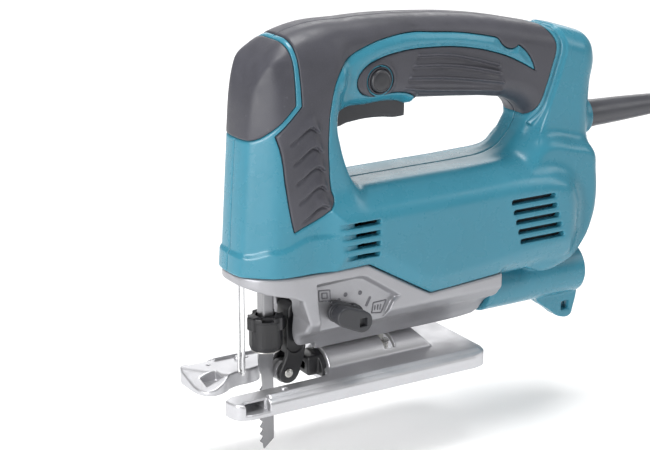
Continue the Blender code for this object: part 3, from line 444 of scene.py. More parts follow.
def put(node, **values):
    """Set sockets; an underscore in a name stands for a space."""
    for name, value in values.items():
        node.inputs[name.replace("_", " ")].default_value = value
    return node


def moulded(name, colour, rough, metallic, grain, relief, blotch, vary, spread,
            wear=0, wear_colour=None, brushed=None, fleck=0):
    """A plastic, rubber or metal with grain, uneven colour and gloss, and rubbed edges.

    grain and blotch are feature sizes in mm, relief the strength of the bump, vary the
    spread of the colour, spread that of the roughness.
    """
    mat = bpy.data.materials.new(name)
    mat.use_nodes = True
    tree = mat.node_tree
    new, wire = tree.nodes.new, tree.links.new
    shader = put(tree.nodes["Principled BSDF"], Metallic=metallic, Specular_IOR_Level=0.5)
    here = new("ShaderNodeTexCoord").outputs["Object"]
    fine_at = here
    if brushed:
        stretch = put(new("ShaderNodeMapping"), Scale=brushed)
        wire(here, stretch.inputs["Vector"])
        fine_at = stretch.outputs["Vector"]

    def noise(at, size, detail):
        node = put(new("ShaderNodeTexNoise"), Scale=1000 / size, Detail=detail, Roughness=0.6)
        wire(at, node.inputs["Vector"])
        return node.outputs["Fac"]

    def spread_to(value, lo, hi, start=0.3, end=0.7):
        node = put(new("ShaderNodeMapRange"), From_Min=start, From_Max=end, To_Min=lo, To_Max=hi)
        wire(value, node.inputs["Value"])
        return node.outputs["Result"]

    def mixed(factor, a, b):
        node = new("ShaderNodeMix")
        node.data_type = "RGBA"
        wire(factor, node.inputs["Factor"])
        for value, socket in ((a, node.inputs["A"]), (b, node.inputs["B"])):
            if isinstance(value, tuple):
                socket.default_value = (*value, 1)
            else:
                wire(value, socket)
        return node.outputs["Result"]

    large = noise(here, blotch * 4, 3)
    small = noise(fine_at, grain, 4)
    light = tuple(min(1, c * (1 + vary)) for c in colour)
    dark = tuple(c * (1 - vary) for c in colour)
    shade = mixed(spread_to(large, 0, 1, 0.25, 0.75), dark, light)
    if fleck:
        speck = tuple(min(1, c * (1 + fleck)) for c in colour)
        shade = mixed(spread_to(small, 0, 0.8, 0.5, 0.8), shade, speck)
    if wear:
        edge = new("ShaderNodeNewGeometry").outputs["Pointiness"]
        rub = new("ShaderNodeMath")
        rub.operation = "MULTIPLY"
        wire(spread_to(edge, 0, wear, 0.52, 0.62), rub.inputs[0])
        wire(spread_to(noise(here, 3, 4), 0.3, 1, 0.35, 0.6), rub.inputs[1])
        shade = mixed(rub.outputs["Value"], shade, wear_colour)
    wire(shade, shader.inputs["Base Color"])
    medium = noise(here, blotch, 4)
    wire(spread_to(medium, rough - spread, rough + spread), shader.inputs["Roughness"])
    bump = put(new("ShaderNodeBump"), Strength=relief, Distance=0.0001)
    wire(small, bump.inputs["Height"])
    wire(bump.outputs["Normal"], shader.inputs["Normal"])
    return mat


#                   colour, roughness, metallic, grain, relief, blotch, vary, spread
TEAL = moulded("teal plastic", (0.035, 0.212, 0.298), 0.28, 0, 0.45, 0.07, 14, 0.05, 0.05,
               wear=0.25, wear_colour=(0.16, 0.42, 0.52))
RUBBER = moulded("grey elastomer", (0.052, 0.052, 0.064), 0.46, 0, 0.5, 0.5, 7, 0.20, 0.10,
                 wear=0.3, wear_colour=(0.13, 0.13, 0.15), fleck=0.4)
BLACK = moulded("black plastic", (0.016, 0.016, 0.018), 0.38, 0, 0.4, 0.3, 6, 0.2, 0.06, wear=0.3,
                wear_colour=(0.07, 0.07, 0.075))
LEVER_GREY = moulded("dark grey plastic", (0.030, 0.031, 0.036), 0.40, 0, 0.4, 0.3, 6, 0.12, 0.06,
                     wear=0.4, wear_colour=(0.12, 0.12, 0.13))
CAST = moulded("cast aluminium", (0.35, 0.35, 0.37), 0.40, 0.6, 0.55, 0.38, 8, 0.07, 0.08,
               wear=0.5, wear_colour=(0.72, 0.72, 0.74), fleck=0.12)
BASE_METAL = moulded("bright cast aluminium", (0.54, 0.54, 0.56), 0.36, 0.75, 0.5, 0.25, 10, 0.06,
                     0.08, wear=0.5, wear_colour=(0.85, 0.85, 0.86), fleck=0.10)
STEEL = moulded("ground steel", (0.30, 0.30, 0.31), 0.34, 0.9, 0.35, 0.10, 6, 0.08, 0.05,
                brushed=(1, 1, 0.05))
WIRE = moulded("bright wire", (0.74, 0.74, 0.75), 0.2, 1, 0.3, 0.08, 4, 0.06, 0.06,
               brushed=(1, 1, 0.05))
ZINC = moulded("zinc plated steel", (0.62, 0.61, 0.58), 0.32, 1, 0.3, 0.15, 2.5, 0.15, 0.1)
COPPER = moulded("copper", (0.70, 0.32, 0.16), 0.33, 1, 0.3, 0.15, 3, 0.18, 0.1,
                 brushed=(0.1, 1, 1))
BRASS = moulded("brass", (0.72, 0.53, 0.22), 0.28, 1, 0.3, 0.12, 3, 0.12, 0.08,
                brushed=(0.1, 1, 1))
IRON = moulded("laminated iron", (0.17, 0.17, 0.18), 0.5, 0.8, 0.6, 0.5, 4, 0.25, 0.1,
               brushed=(1, 0.05, 0.05))
CARBON = moulded("carbon", (0.025, 0.025, 0.026), 0.62, 0, 0.3, 0.4, 6, 0.2, 0.06)
BRONZE = moulded("sintered bronze", (0.42, 0.26, 0.12), 0.45, 1, 0.25, 0.5, 3, 0.2, 0.1)
SHEATH = moulded("cord sheath", (0.060, 0.061, 0.071), 0.36, 0, 0.5, 0.2, 8, 0.15, 0.08)
# the dark grey of the raised selector marks is painted shade standing in for the shadow round them
SHADED_MARK = moulded("dial relief with painted shade", (0.13, 0.13, 0.145), 0.45, 0.4, 0.4, 0.2, 6, 0.1, 0.06, wear=0.4,
               wear_colour=(0.6, 0.6, 0.62))

# -------- cord

ROUTE = [(231.3, 0, 128), (242, 0, 127.9), (253, -0.6, 125), (263, -2, 118.2),
         (270.5, -4, 108), (274.2, -6.5, 93.5), (275.4, -9.5, 75), (275.8, -13, 55),
         (275.9, -16.8, 35), (275.9, -20, 15), (275.9, -21.8, 0), (275.9, -22, -8.4),
         (275.9, -20.1, -19.3), (275.9, -14.5, -29), (275.9, -6, -36.1), (275.9, 1.7, -39.3),
         (275.9, 10, -40.4)]
PLUG_Y = COIL_Y - 40.75
COIL_LOW = -39.2
PITCH = 7.65
OUTER_TURN = 48.3
TURNS = 2
CLIMB = 0.25


def coil_point(turn, radius, z):
    """A point of the coil; it winds clockwise seen from above, from its -X side."""
    angle = pi - 2 * pi * turn
    return Vector((COIL_X + radius * cos(angle), COIL_Y + radius * sin(angle), z))


def ease(t):
    t = min(1, max(0, t))
    return t * t * (3 - 2 * t)


def cord_route():
    """Down from the guard, three flat spirals on each other, then up to the plug on them."""
    points = [Vector(p) for p in ROUTE]
    lap = TURNS + CLIMB
    ends = (OUTER_TURN, OUTER_TURN - PITCH * TURNS)
    for i in range(1, 157):
        turn = i / 24
        t = turn - 0.2
        if t < 0:
            lead = ease(turn / 0.2)
            radius, z = 56.1 + (OUTER_TURN - 56.1) * lead, -40.4 + (COIL_LOW + 40.4) * lead
        else:
            radius = float(np.interp(t, (0, TURNS, lap, lap + TURNS, 2 * lap, 2 * lap + TURNS),
                                     ends + ends[::-1] + ends))
            z = COIL_LOW + PITCH * (ease((t - TURNS) / CLIMB)
                                    + ease((t - lap - TURNS) / CLIMB))
        points.append(coil_point(turn, radius, z))
    # from just past the tie up to the plug, which lies on the coil near its -Y side
    reach = (15, PLUG_Y - COIL_Y)
    last_turn = 6.5 - atan2(reach[1], reach[0]) / (2 * pi)
    for i in range(1, 9):
        t = i / 8
        points.append(coil_point(turn + (last_turn - turn) * t,
                                 radius + (hypot(*reach) - radius) * ease(t),
                                 z + (-11.9 - z) * ease(t)))
    return points


def tube(name, radius, resolution):
    curve = bpy.data.curves.new(name, "CURVE")
    curve.dimensions = "3D"
    curve.bevel_depth = radius * MM
    curve.bevel_resolution = resolution
    curve.use_fill_caps = True
    return curve


route = cord_route()
curve = tube("power_cord_run", CORD_RADIUS, 5)
curve.resolution_u = 6
spline = curve.splines.new("BEZIER")
spline.bezier_points.add(len(route) - 1)
for i, (point, knot) in enumerate(zip(route, spline.bezier_points)):
    knot.co = point * MM
    before, after = route[max(i - 1, 0)], route[min(i + 1, len(route) - 1)]
    along = (after - before).normalized()
    knot.handle_left_type = knot.handle_right_type = "FREE"
    knot.handle_left = (point - along * (point - before).length / 3) * MM
    knot.handle_right = (point + along * (after - point).length / 3) * MM
run = add_object("power_cord_run", curve)
place(run, FRAME, SHEATH, "cord_rubber", "power_cord", "cord_coil")


def revolve(name, profile, at, axis="z", steps=48):
    """A turned piece from (radius, height) pairs down its outer side."""
    turn = {"z": Matrix.Identity(4), "x": Matrix.Rotation(radians(90), 4, "Y"),
            "y": Matrix.Rotation(radians(-90), 4, "X")}[axis]
    bm = bmesh.new()
    rings = []
    for r, h in profile:
        if r < 1e-6:
            rings.append([bm.verts.new((0, 0, h * MM))])
        else:
            rings.append([bm.verts.new((r * MM * cos(2 * pi * s / steps),
                                        r * MM * sin(2 * pi * s / steps), h * MM))
                          for s in range(steps)])
    pairs = list(zip(rings, rings[1:]))
    if profile[0][0] > 0:
        pairs.append((rings[-1], rings[0]))
    for a, b in pairs:
        for s in range(steps):
            t = (s + 1) % steps
            corners = dict.fromkeys((a[s % len(a)], b[s % len(b)], b[t % len(b)], a[t % len(a)]))
            if len(corners) > 2:
                bm.faces.new(list(corners))
    obj = from_bmesh(name, bm)
    obj.data.transform(Matrix.Translation(Vector(at) * MM) @ turn)
    return soften(obj, 0.25)


def soften(obj, width, angle=30):
    """Small round on the hard edges, and smooth shading."""
    mod = obj.modifiers.new("edges", "BEVEL")
    mod.width = width * MM
    mod.segments = 2
    mod.limit_method = "ANGLE"
    mod.angle_limit = radians(angle)
    mod.harden_normals = True
    obj.data.shade_smooth()
    return obj


guard_profile = [(0, 231), (5, 231), (5.5, 230.6), (5.7, 229.8), (6.3, 222), (6.9, 210),
                 (7.5, 196), (8, 180), (8.4, 174.6), (8.6, 173.6), (8.6, 171.8), (7.6, 171.6),
                 (7.6, 163.9), (9.8, 163.9), (9.8, 159.2), (0, 159.2)]
cord_guard = revolve("cord_guard_sleeve", guard_profile, (0, 0, CORD_Z), "x")
place(cord_guard, FRAME, SHEATH, "cord_rubber", "cord_guard")

g = Grid((COIL_X - 29, COIL_X + 18), (PLUG_Y - 15, PLUG_Y + 15), (-22, -2), 0.45)
PLUG_HALF = [(15.4, -4.2), (5, -5), (-4, -6), (-12, -12), (-23, -13), (-26, -12.6)]
PLUG = PLUG_HALF + [(x, -y) for x, y in reversed(PLUG_HALF)]
plug_field = rounded(g.flat([(x + COIL_X, y + PLUG_Y) for x, y in PLUG], "xy"),
                     slab(g.z, -19.9, -3.9), 4)
plug_field = smax(plug_field, slab(g.x, COIL_X - 26, COIL_X + 15.2), 0.8)
for i in range(5):
    rib = maximum(slab(g.x, COIL_X - 4.6 + 3.6 * i, COIL_X - 3 + 3.6 * i), 4.6 - np.sqrt(
        (g.y - PLUG_Y) ** 2 * 0.6 + (g.z + 11.9) ** 2))
    plug_field = smax(plug_field, -rib, 0.5)
plug_body = place(carve("plug_body", g, plug_field), FRAME, SHEATH, "cord_rubber", "plug")


# -------- housing

LEAN = tan(radians(3.6))


def housing_field(g):
    """The outer form of the whole housing before it is split into mouldings."""
    y = abs(g.y)
    handle = rounded(maximum(g.flat(HANDLE), -g.flat(FINGER)), y - HANDLE_HALF,
                     HANDLE_ROUND)
    # the post behind the grip stands proud of it with a crisp edge
    post = smax(handle - 0.9, g.flat(POST), 0.6)
    handle = smin(handle, post, 0.6)
    head = rounded(g.flat(HEAD), y - HEAD_HALF, HEAD_ROUND)
    head = smax(head, leaning(g, HEAD_PLAN, LEAN, 110), 3)
    head = smax(head, g.flat(mirrored(HEAD_ACROSS), "yz"), 6)
    back_x = g.x - (g.z - 110) * LEAN
    facet = -back_x * 0.669 + y * 0.743 - 50.7
    head = smax(head, facet, 0.9)
    outline = g.flat(BARREL)
    side = y - BARREL_HALF
    barrel = smax(outline, side, 4)
    barrel = smax(barrel, (outline + side + 12.5) * 0.7071, 4)
    below = maximum(g.flat(CREASE), -2)
    barrel = smax(barrel, below * 0.42 + side * 0.91, 0.9)
    rear = rounded(g.flat(REAR), y - REAR_HALF, REAR_ROUND)
    form = smin(handle, head, 6)
    return smin(form, smin(barrel, rear, 4), 7)


def groove(g, points, width, depth, form, smooth=True):
    """What a drawn line removes from a surface."""
    line = g.flat(points, smooth=smooth, closed=False)
    return maximum(line - width / 2, -(form + depth))


def teal_half(name, sign):
    y_range = (-34.6, 0.8) if sign < 0 else (-0.8, 34.6)
    g = Grid((-70, 172.5), y_range, (3, 203.5), 0.62)
    y = sign * g.y
    form = housing_field(g)
    cap, grip = g.flat(CAP), g.flat(GRIP)
    # a wider foot below a line round the front, and the raised stripe of the handle
    line = 86 + 5.5 * ramp(g.x, -50, -30) - 3 * ramp(-g.x, 52, 62)
    foot = ramp(line - g.z, -1.4, 1.4) * (1 - ramp(g.x, -26, -14))
    stripe = g.flat(STRIPE)
    crown = ramp(-stripe, 0, 4.4)
    d = form - 1.2 * foot - 1.2 * crown * ramp(g.z, 162, 172)
    d = smin(d, cylinder(g, "x", (0, PORT_Z), PORT_RADIUS, 88, 167, 1.2), 3)
    d = smin(d, cylinder(g, "x", (0, CORD_Z), 11.5, 150, 171.2, 1.4), 3)
    d = smin(d, rounded(maximum(g.flat(KEY), -g.flat(KEY_HOLE, smooth=False)),
                        y - 5, 1.2), 2)
    # a groove along the rear grip, and a line in the stripe
    rim = [(130, 200), (134.2, 188.4), (138.2, 181.6), (139.4, 175.6), (136.4, 163.4),
           (131, 148), (127.4, 138.6), (123, 131.5)]
    d = smax(d, -groove(g, rim, 1.7, 1.2, form), 1.2)
    lower = [(6.5, 173.5), (10, 178.6), (16, 182.2), (31.4, 185.6), (48.8, 185.9),
             (72.4, 183.5), (97, 177), (110, 171)]
    d = smax(d, -groove(g, lower, 0.5, 0.5, d), 0.4)
    # room for the gear housing and the overmoulds
    d = smax(d, -(g.flat(PARTING, smooth=False) - 0.25), 1)
    bed = maximum(minimum(cap, grip) - 0.12, -(form + SKIN + 0.3))
    d = smax(d, -bed, 0.9)
    # openings
    d = smax(d, -cylinder(g, "x", (0, PORT_Z), PORT_BORE, 99, 170), 0.5)
    bore = minimum(cylinder(g, "x", (0, CORD_Z), 8.2, 140, 175),
                   cylinder(g, "x", (0, CORD_Z), 10.4, 158, 164.6))
    d = smax(d, -bore, 0.5)
    d = smax(d, -box(g, (-8.5, 44.5), (-8.8, 8.8), (143, 175), 0.5), 0.6)
    for x0, z in REAR_SLOTS:
        slot = maximum(rounded(slab(g.x, x0, x0 + 31), slab(g.z, z - 1.5, z + 1.5), 1.2),
                       20 - y)
        d = smax(d, -slot, 0.7)
    for x0, z in FRONT_SLOTS:
        slot = maximum(rounded(slab(g.x, x0, 9.6), slab(g.z, z - 1.4, z + 1.4), 0.5),
                       22 - y)
        d = smax(d, -slot, 0.5)
        depth = 3.2 * np.clip((g.x - (x0 - 10.5)) / 10.5, 0, 1)
        scoop = maximum(maximum(slab(g.x, x0 - 10.5, x0 + 2), slab(g.z, z - 1.4, z + 1.4)),
                        -(form + depth))
        d = smax(d, -scoop, 0.4)
    for z in (71, 76.5, 82, 87.5):
        notch = rounded(maximum(slab(g.z, z - 1.1, z + 1.1), slab(y, 7, 21)), 159.5 - g.x,
                        0.6)
        d = smax(d, -notch, 0.5)
    if sign < 0:
        ring = radius_from(g.x, g.z, (LOCK_X, LOCK_Z))
        d = smin(d, maximum(abs(ring - 8) - 0.42, slab(g.y, -18.6, -12)), 0.3)
        d = maximum(d, -maximum(ring - 7.6, g.y + 8))
    else:
        for x, z, reach in SCREWS:
            d = smax(d, -cylinder(g, "y", (x, z), 3.9, reach - 6, 45, 0.2), 0.6)
    d = smax(d, SPLIT - y, 0.8)
    # the hollow inside
    d = smax(d, -(form + WALL), 0.3)
    obj = carve(name, g, d)
    return place(obj, FRAME, TEAL, "teal_plastic",
                 "housing_left" if sign < 0 else "housing_right")


SHELF = [(0, 0), (4.6, 2.6), (9.7, 7), (12.6, 8.3), (14.6, 7.8), (17.4, 5)]
RIDGES = [[(42.3, 181), (60, 179.4), (78.9, 175), (95.6, 169.8)],
          [(39.8, 175.4), (60, 173.6), (80, 169.8), (96.5, 165.4)],
          [(36.9, 169.1), (60, 166.6), (80, 163.2), (99.1, 159.4)],
          [(34, 163), (55, 160), (80, 157), (99, 154.2)]]


def overmould(name, sign):
    y_range = (-31.5, 0.6) if sign < 0 else (-0.6, 31.5)
    g = Grid((-53, 138), y_range, (93, 203), 0.5)
    y = sign * g.y
    form = housing_field(g)
    grip = g.flat(GRIP)
    d = smax(form - 0.15, grip + 0.14, 1.1)
    pad = ramp(-grip, 0.5, 4.5)
    # five curved shelves in the pad beside the column
    for i in range(5):
        xs = [x - 42.4 + 1.53 * i for x, z in SHELF]
        zs = [z + 143.6 - 10.7 * i for x, z in SHELF]
        above = g.z - np.interp(g.x, xs, zs).astype(np.float32)
        along = np.clip((g.x - xs[0]) / (xs[-1] - xs[0]), -0.2, 1.2)
        height = ramp(along, -0.05, 0.8) * (1 - ramp(along, 0.92, 1.12))
        shelf = ramp(above, -0.7, 0.7) * np.exp(-(maximum(above - 0.7, 0) / 4.2) ** 2)
        d = d - 2.1 * pad * height * shelf
        crease = ramp(along, 0, 0.12) * (1 - ramp(along, 0.9, 1.05))
        d = d + 0.8 * pad * crease * np.exp(-((above + 1) / 0.9) ** 2)
    for line in RIDGES:
        ridge = g.flat(line, closed=False)
        d = d - 1.5 * pad * np.exp(-(ridge / 0.75) ** 2) * ramp(y, 8, 12)
        dip = g.flat([(a, b - 1.9) for a, b in line], closed=False)
        d = d + 0.9 * pad * np.exp(-(dip / 1.3) ** 2) * ramp(y, 8, 12)
    if sign < 0:
        ring = radius_from(g.x, g.z, (LOCK_X, LOCK_Z))
        d = d - 0.9 * np.exp(-((ring - 9.3) / 1.3) ** 2)
        d = smax(d, -maximum(ring - 8.55, g.y + 6), 0.6)
    else:
        for x, z, reach in SCREWS[:4]:
            d = smax(d, -cylinder(g, "y", (x, z), 4.3, 5, 45, 0.2), 0.6)
    d = smax(d, -box(g, (-8.5, 44.5), (-8.8, 8.8), (143, 175), 0.5), 0.6)
    d = smax(d, SPLIT - y, 0.8)
    d = smax(d, -(form + SKIN), 0.3)
    return place(carve(name, g, d), FRAME, RUBBER, "grey_elastomer",
                 "grip_left" if sign < 0 else "grip_right")


def front_cap():
    g = Grid((-64, -35), (-29, 29), (142, 201), 0.5)
    form = housing_field(g)
    d = smax(form - 0.15, g.flat(CAP) + 0.14, 1.1)
    d = smax(d, -(form + SKIN), 0.3)
    return place(carve("front_cap_cover", g, d), FRAME, RUBBER, "grey_elastomer", "front_cap")


def prism(bm, low, high):
    """A closed solid between two matching loops of points."""
    low, high = [[bm.verts.new([c * MM for c in p]) for p in loop] for loop in (low, high)]
    bm.faces.new(low)
    bm.faces.new(high[::-1])
    for i in range(len(low)):
        j = (i + 1) % len(low)
        bm.faces.new((low[i], high[i], high[j], low[j]))


def shade_screen(name, x, z, sign):
    """A dark louvred sheet behind one group of cooling slots, painted shade that keeps the slots
    black.
    """
    bm = bmesh.new()
    count = 9
    for i in range(count):
        z0, z1 = [z[0] + (z[1] - z[0]) * n / count for n in (i, i + 1)]
        loop = [(27.9, z0), (27.9, z1), (27.2, z1 - 0.2), (26.6, z0 + 0.4)]
        prism(bm, *[[(at, sign * y, h) for y, h in loop] for at in x])
    place(from_bmesh(name, bm), FRAME, BLACK, "black_plastic")


# dark sheets behind the rear slots stand in for the shade inside the housing
for sign, word in ((-1, "left"), (1, "right")):
    shade_screen("rear_shade_screen_" + word, (94, 138), (65, 97), sign)
teal_half("housing_shell_left", -1)
teal_half("housing_shell_right", 1)
overmould("grip_cover_left", -1)
overmould("grip_cover_right", 1)
front_cap()


# -------- gear housing

def gear_housing():
    g = Grid((-68, 97), (-30, 30), (16, 72), 0.55)
    y = abs(g.y)
    d = rounded(g.flat(GEAR, smooth=False), y - 28.2, 1.6)
    d = smax(d, g.flat(both_sides(GEAR_PLAN), "xy"), 1.6)
    around = g.flat(mirrored(FLANK), "yz")
    d = smax(d, around, 3)
    # clear of the saddle, with a throat for the plunger and rooms for what is inside
    d = smax(d, -cylinder(g, "x", (0, BEVEL_Z), 16.4, -70, 110), 0.6)
    throat = g.flat(both_sides([(-61.5, 8), (-58, 14), (-52, 19.5), (-45, 22.4), (-36, 22),
                                (-32.6, 12)]), "xy")
    d = smax(d, -rounded(throat, slab(g.z, 30, 62.8), 1.5), 0.8)
    d = smax(d, -cylinder(g, "z", (PLUNGER_X, 0), 8, 55, 80), 0.4)
    d = smax(d, -box(g, (-40, -17), (-8.4, 8.4), (10, 51), 1), 0.6)
    d = smax(d, -box(g, (-18, 5), (-15, 15), (36, 50), 1), 0.4)
    d = smax(d, -cylinder(g, "x", (0, 81), 27.6, -6.5, 62), 0.4)
    # the selector's recess: a sloped wall along its top, a flat panel below it
    recess = g.flat(RECESS, smooth=False)
    top = [(-40, 65.4), (-0.8, 65.9), (4, 64.9), (26.2, 50.2), (40, 41)]
    wall = abs(g.flat(top, smooth=False, closed=False))
    floor_y = PANEL_Y - 3.8 * (1 - np.clip(wall / 2.6, 0, 1))
    cut = maximum(recess, g.y - floor_y)
    d = smax(d, -cut, 0.5)
    for axis, centre, radius, lo, hi, r, k in (
            ("y", (LEVER_X, LEVER_Z), 4.4, -30, -10, 0.2, 0.4),
            ("y", (-26, 44), 1.9, -16, 16, 0.1, 0.2), ("z", (30, 0), 3.1, 10, 36, 0.2, 0.3),
            ("y", (10.6, 19), 1.3, -30, -4, 0.2, 0.3),
            ("z", (-59, -2.5), 1.3, 58, 66.5, 0.2, 0.3),
            ("z", (-59, 2.5), 1.3, 58, 66.5, 0.2, 0.3)):
        d = smax(d, -cylinder(g, axis, centre, radius, lo, hi, r), k)
    return place(carve("gear_case", g, d), FRAME, CAST, "cast_aluminium", "gear_housing")


gear_housing()

# -------- base


def base():
    g = Grid((-83.5, 83.5), (-38, 38), (-1, 21), 0.5)
    y = abs(g.y)
    half = [(-82, 24, 1), (-82, 28, 1), (-79.4, 33.6), (-73, 36.8, 1), (72, 36.8, 1), (79, 34.2),
            (82, 27, 1)]
    near = [(-82, -24, 1), (-77, -20.5, 1), (-21, -20.5, 1), (-15.4, -18), (-13, -12, 1)]
    far = [(-13, 12, 1), (-15.4, 18), (-21, 20.5, 1), (-34, 20.5), (-38.5, 16.5), (-41.5, 11.6),
           (-47, 9.6), (-56, 9.2), (-62, 7.4), (-66, 4.6), (-70.5, 3), (-76, 3.4), (-80.4, 8),
           (-82, 14, 1)]
    loop = half[1:] + [(x, -v, *c) for x, v, *c in reversed(half[1:])] + near + far
    plan = g.flat(loop, "xy")
    d = rounded(plan, slab(g.z, 0, SOLE_TOP), 0.9)
    saddle = maximum(cylinder(g, "x", (0, BEVEL_Z), SADDLE_RADIUS, -11, 57, 0.8), 2 - g.z)
    saddle = smax(saddle, (g.x - 48) * 0.76 + (g.z - 20.1) * 0.65, 0.7)
    d = smin(d, saddle, 1.4)
    ridge = rounded(maximum(slab(y, 30.4, 33.7), slab(g.x, -60, 78)), slab(g.z, 5, 10.7), 0.7)
    d = smin(d, ridge, 0.5)
    d = smax(d, -maximum(slab(y, 28.7, 29.9), maximum(slab(g.x, -60, 76), 8.1 - g.z)), 0.5)
    edge = (y - 34.6) * 0.5 + (g.z - 8.3) * 0.866
    d = smax(d, edge, 0.8)
    d = smax(d, -cylinder(g, "x", (0, BEVEL_Z), 11.2, 12, 54, 0.5), 0.5)
    d = smax(d, -box(g, (11.9, 54.1), (-11.1, 11.1), (-3, 6)), 0.5)
    d = smax(d, -box(g, (26.6, 33.4), (-11.8, 11.8), (7, 26), 0.5), 0.4)
    # pocket in each prong's outer corner, and one in the wide nose of the far prong
    window = maximum(maximum(slab(g.x, -75.5, -61.5), 31.8 - y), 3 - g.z)
    d = smax(d, -window, 0.6)
    slot = maximum(maximum(slab(g.x, -74.2, -62.6), slab(y, 21.5, 33)),
                   slab(g.z, 3, 7.6))
    d = smax(d, -slot, 0.3)
    d = smax(d, -box(g, (-76, -66.5), (8.5, 16.5), (3.2, 12), 0.4), 0.4)
    fall = -(g.x + 66) * 0.34 - (g.y - 20) * 0.26 + (g.z - 9) * 0.9
    d = smax(d, np.where(g.y > 0, fall - 2.4, -9), 0.8)
    bumps = [cylinder(g, "z", (-47.2, at_y), 2, 5, 10.6, 0.8) for at_y in (-26.4, 26.4)]
    d = smin(d, minimum(*bumps), 0.4)
    for x in (-66, -42):
        d = smax(d, -cylinder(g, "z", (x, 26), 1, 4, 14, 0.1), 0.3)
    # stiffening ribs under the sole
    for y0 in (-24, 24):
        d = smax(d, -box(g, (-8, 74), (y0 - 6, y0 + 6), (-2, 3.4), 1), 0.5)
    return place(carve("shoe", g, d), "base", BASE_METAL, "cast_aluminium", "base_plate")


base()

g = Grid((-22, -10.5), (-13.5, 13.5), (2, 19), 0.35)
nozzle = box(g, (-21, -11.3), (-7.2, 7.2), (4, 15.4), 1.6)
nozzle = smin(nozzle, maximum(cylinder(g, "x", (0, BEVEL_Z), 12, -14.5, -11.3, 0.6),
                              4 - g.z), 1.2)
nozzle = smax(nozzle, -box(g, (-24, -17), (-3.2, 3.2), (7.4, 11.4), 0.8), 0.5)
place(carve("nozzle", g, nozzle), "base", BLACK, "black_plastic", "dust_nozzle")

# -------- clamp, blade and roller

YOKE_Z = 98.29
g = Grid((-49, -38.5), (-19, 19), (22, 152), 0.5)
rod = box(g, (PLUNGER_X - 3.5, PLUNGER_X + 3.5), (-3.5, 3.5), (24, 150), 0.7)
rod = smin(rod, box(g, (PLUNGER_X - 4.1, PLUNGER_X + 3.5), (-17.2, 17.2), (YOKE_Z - 8, YOKE_Z + 8),
                    0.9), 0.6)
rod = smax(rod, -box(g, (-55, -35), (-15.8, 15.8), (YOKE_Z - 4.4, YOKE_Z + 4.4), 0.4), 0.4)
rod = smax(rod, -box(g, (-55, -35), (-0.9, 0.9), (18, 38), 0.1), 0.2)
place(carve("plunger_rod", g, rod), "slider", STEEL, "steel", "plunger")



def turned(g, degrees):
    """Coordinates in the plan, turned about the plunger."""
    a = radians(degrees)
    return ((g.x - PLUNGER_X) * cos(a) + g.y * sin(a),
            -(g.x - PLUNGER_X) * sin(a) + g.y * cos(a))


g = Grid((-56, -31), (-12, 12), (22, 45), 0.32)
around = radius_from(g.x, g.y, (PLUNGER_X, 0))
turned_by = np.arctan2(g.y, g.x - PLUNGER_X)
shell = around - (9.35 + 0.5 * ramp(g.z, 39.6, 41.2) - 0.9 * ramp(26.5 - g.z, 0, 3.4))
sleeve = rounded(shell, slab(g.z, 23.3, 43.2), 0.7)
for angle in (70, 190, 310):
    u, v = turned(g, angle)
    lug = rounded(maximum(slab(u, 5.5, 10.8), abs(v) - 2.8), slab(g.z, 35.6, 43.2), 0.6)
    sleeve = smin(sleeve, lug, 0.9)
    u, v = turned(g, angle + 60)
    gap = maximum(maximum(abs(v) - 3.2, 6.6 - u), 41.4 - g.z)
    sleeve = smax(sleeve, -gap, 0.5)
flute = 0.07 * (0.5 + 0.5 * np.cos(turned_by * 26)) * ramp(g.z, 25.5, 27) * ramp(36 - g.z, 0, 2)
sleeve = smax(sleeve + flute * ramp(around, 8.4, 9), 5.45 - around, 0.4)
place(carve("clamp_collar", g, sleeve), "clamp", BLACK, "black_plastic", "clamp_sleeve")

place(revolve("clamp_ring", [(5.3, 23.6), (8.1, 23.6), (8.5, 23.2), (8.2, 22.7), (5.3, 22.7)],
              (PLUNGER_X, 0, 0)), "clamp", ZINC, "zinc_steel")


def plate(name, loop, y0, y1, width):
    """A flat piece from an outline in the XZ plane."""
    bm = bmesh.new()
    prism(bm, *[[(x, y, z) for x, z in loop] for y in (y0, y1)])
    return soften(from_bmesh(name, bm), width)


teeth = []
for i in range(8):
    z = -32.6 + i * 4.4
    teeth += [(-46.2, z - 0.3), (-47.4, z + 0.5), (-47.9, z + 1.1), (-46.9, z + 2),
              (-46.2, z + 3.2)]
BLADE = ([(-46.6, 35.4), (-46.6, 24.5), (-48.6, 20), (-48.6, 17.5), (-48.2, 12), (-46.6, 8)]
         + teeth[::-1] + [(-45.6, -36.2), (-39.3, -31), (-39.3, 21.5), (-41, 24.5),
                          (-41, 35.4)])
place(plate("saw_blade", BLADE, -0.6, 0.6, 0.12), "slider", STEEL, "steel", "blade")

FORK = [(-31, 48), (-26, 49.2), (-21.2, 48), (-20.4, 43), (-21, 36), (-21.4, 27),
        (-22.4, 19), (-24.6, 11.5), (-26.4, 6.5), (-29.2, 3.2), (-33.2, 2.3), (-37, 4.2),
        (-38.1, 8.5), (-36.6, 12.6), (-34.6, 17), (-33.3, 25), (-33.1, 38)]
g = Grid((-39, -19), (-8, 8), (1, 51), 0.34)
d = rounded(g.flat(FORK), abs(g.y) - 6.4, 0.9)
d = smax(d, -box(g, (-45, -24.8), (-3.8, 3.8), (-5, 19.5), 0.8), 0.5)
d = smax(d, -cylinder(g, "y", (-33, 8.5), 1.7, -9, 9, 0.2), 0.3)
d = smax(d, -cylinder(g, "y", (-26, 44), 1.7, -9, 9, 0.2), 0.3)
web = g.flat([(-31.8, 41), (-23.6, 41), (-23.6, 31), (-24.6, 21), (-31.8, 21)])
d = smax(d, -rounded(web, 4.9 - abs(g.y), 0.5), 0.6)
place(carve("fork_arm", g, d), "fork", BLACK, "black_plastic", "roller_fork")
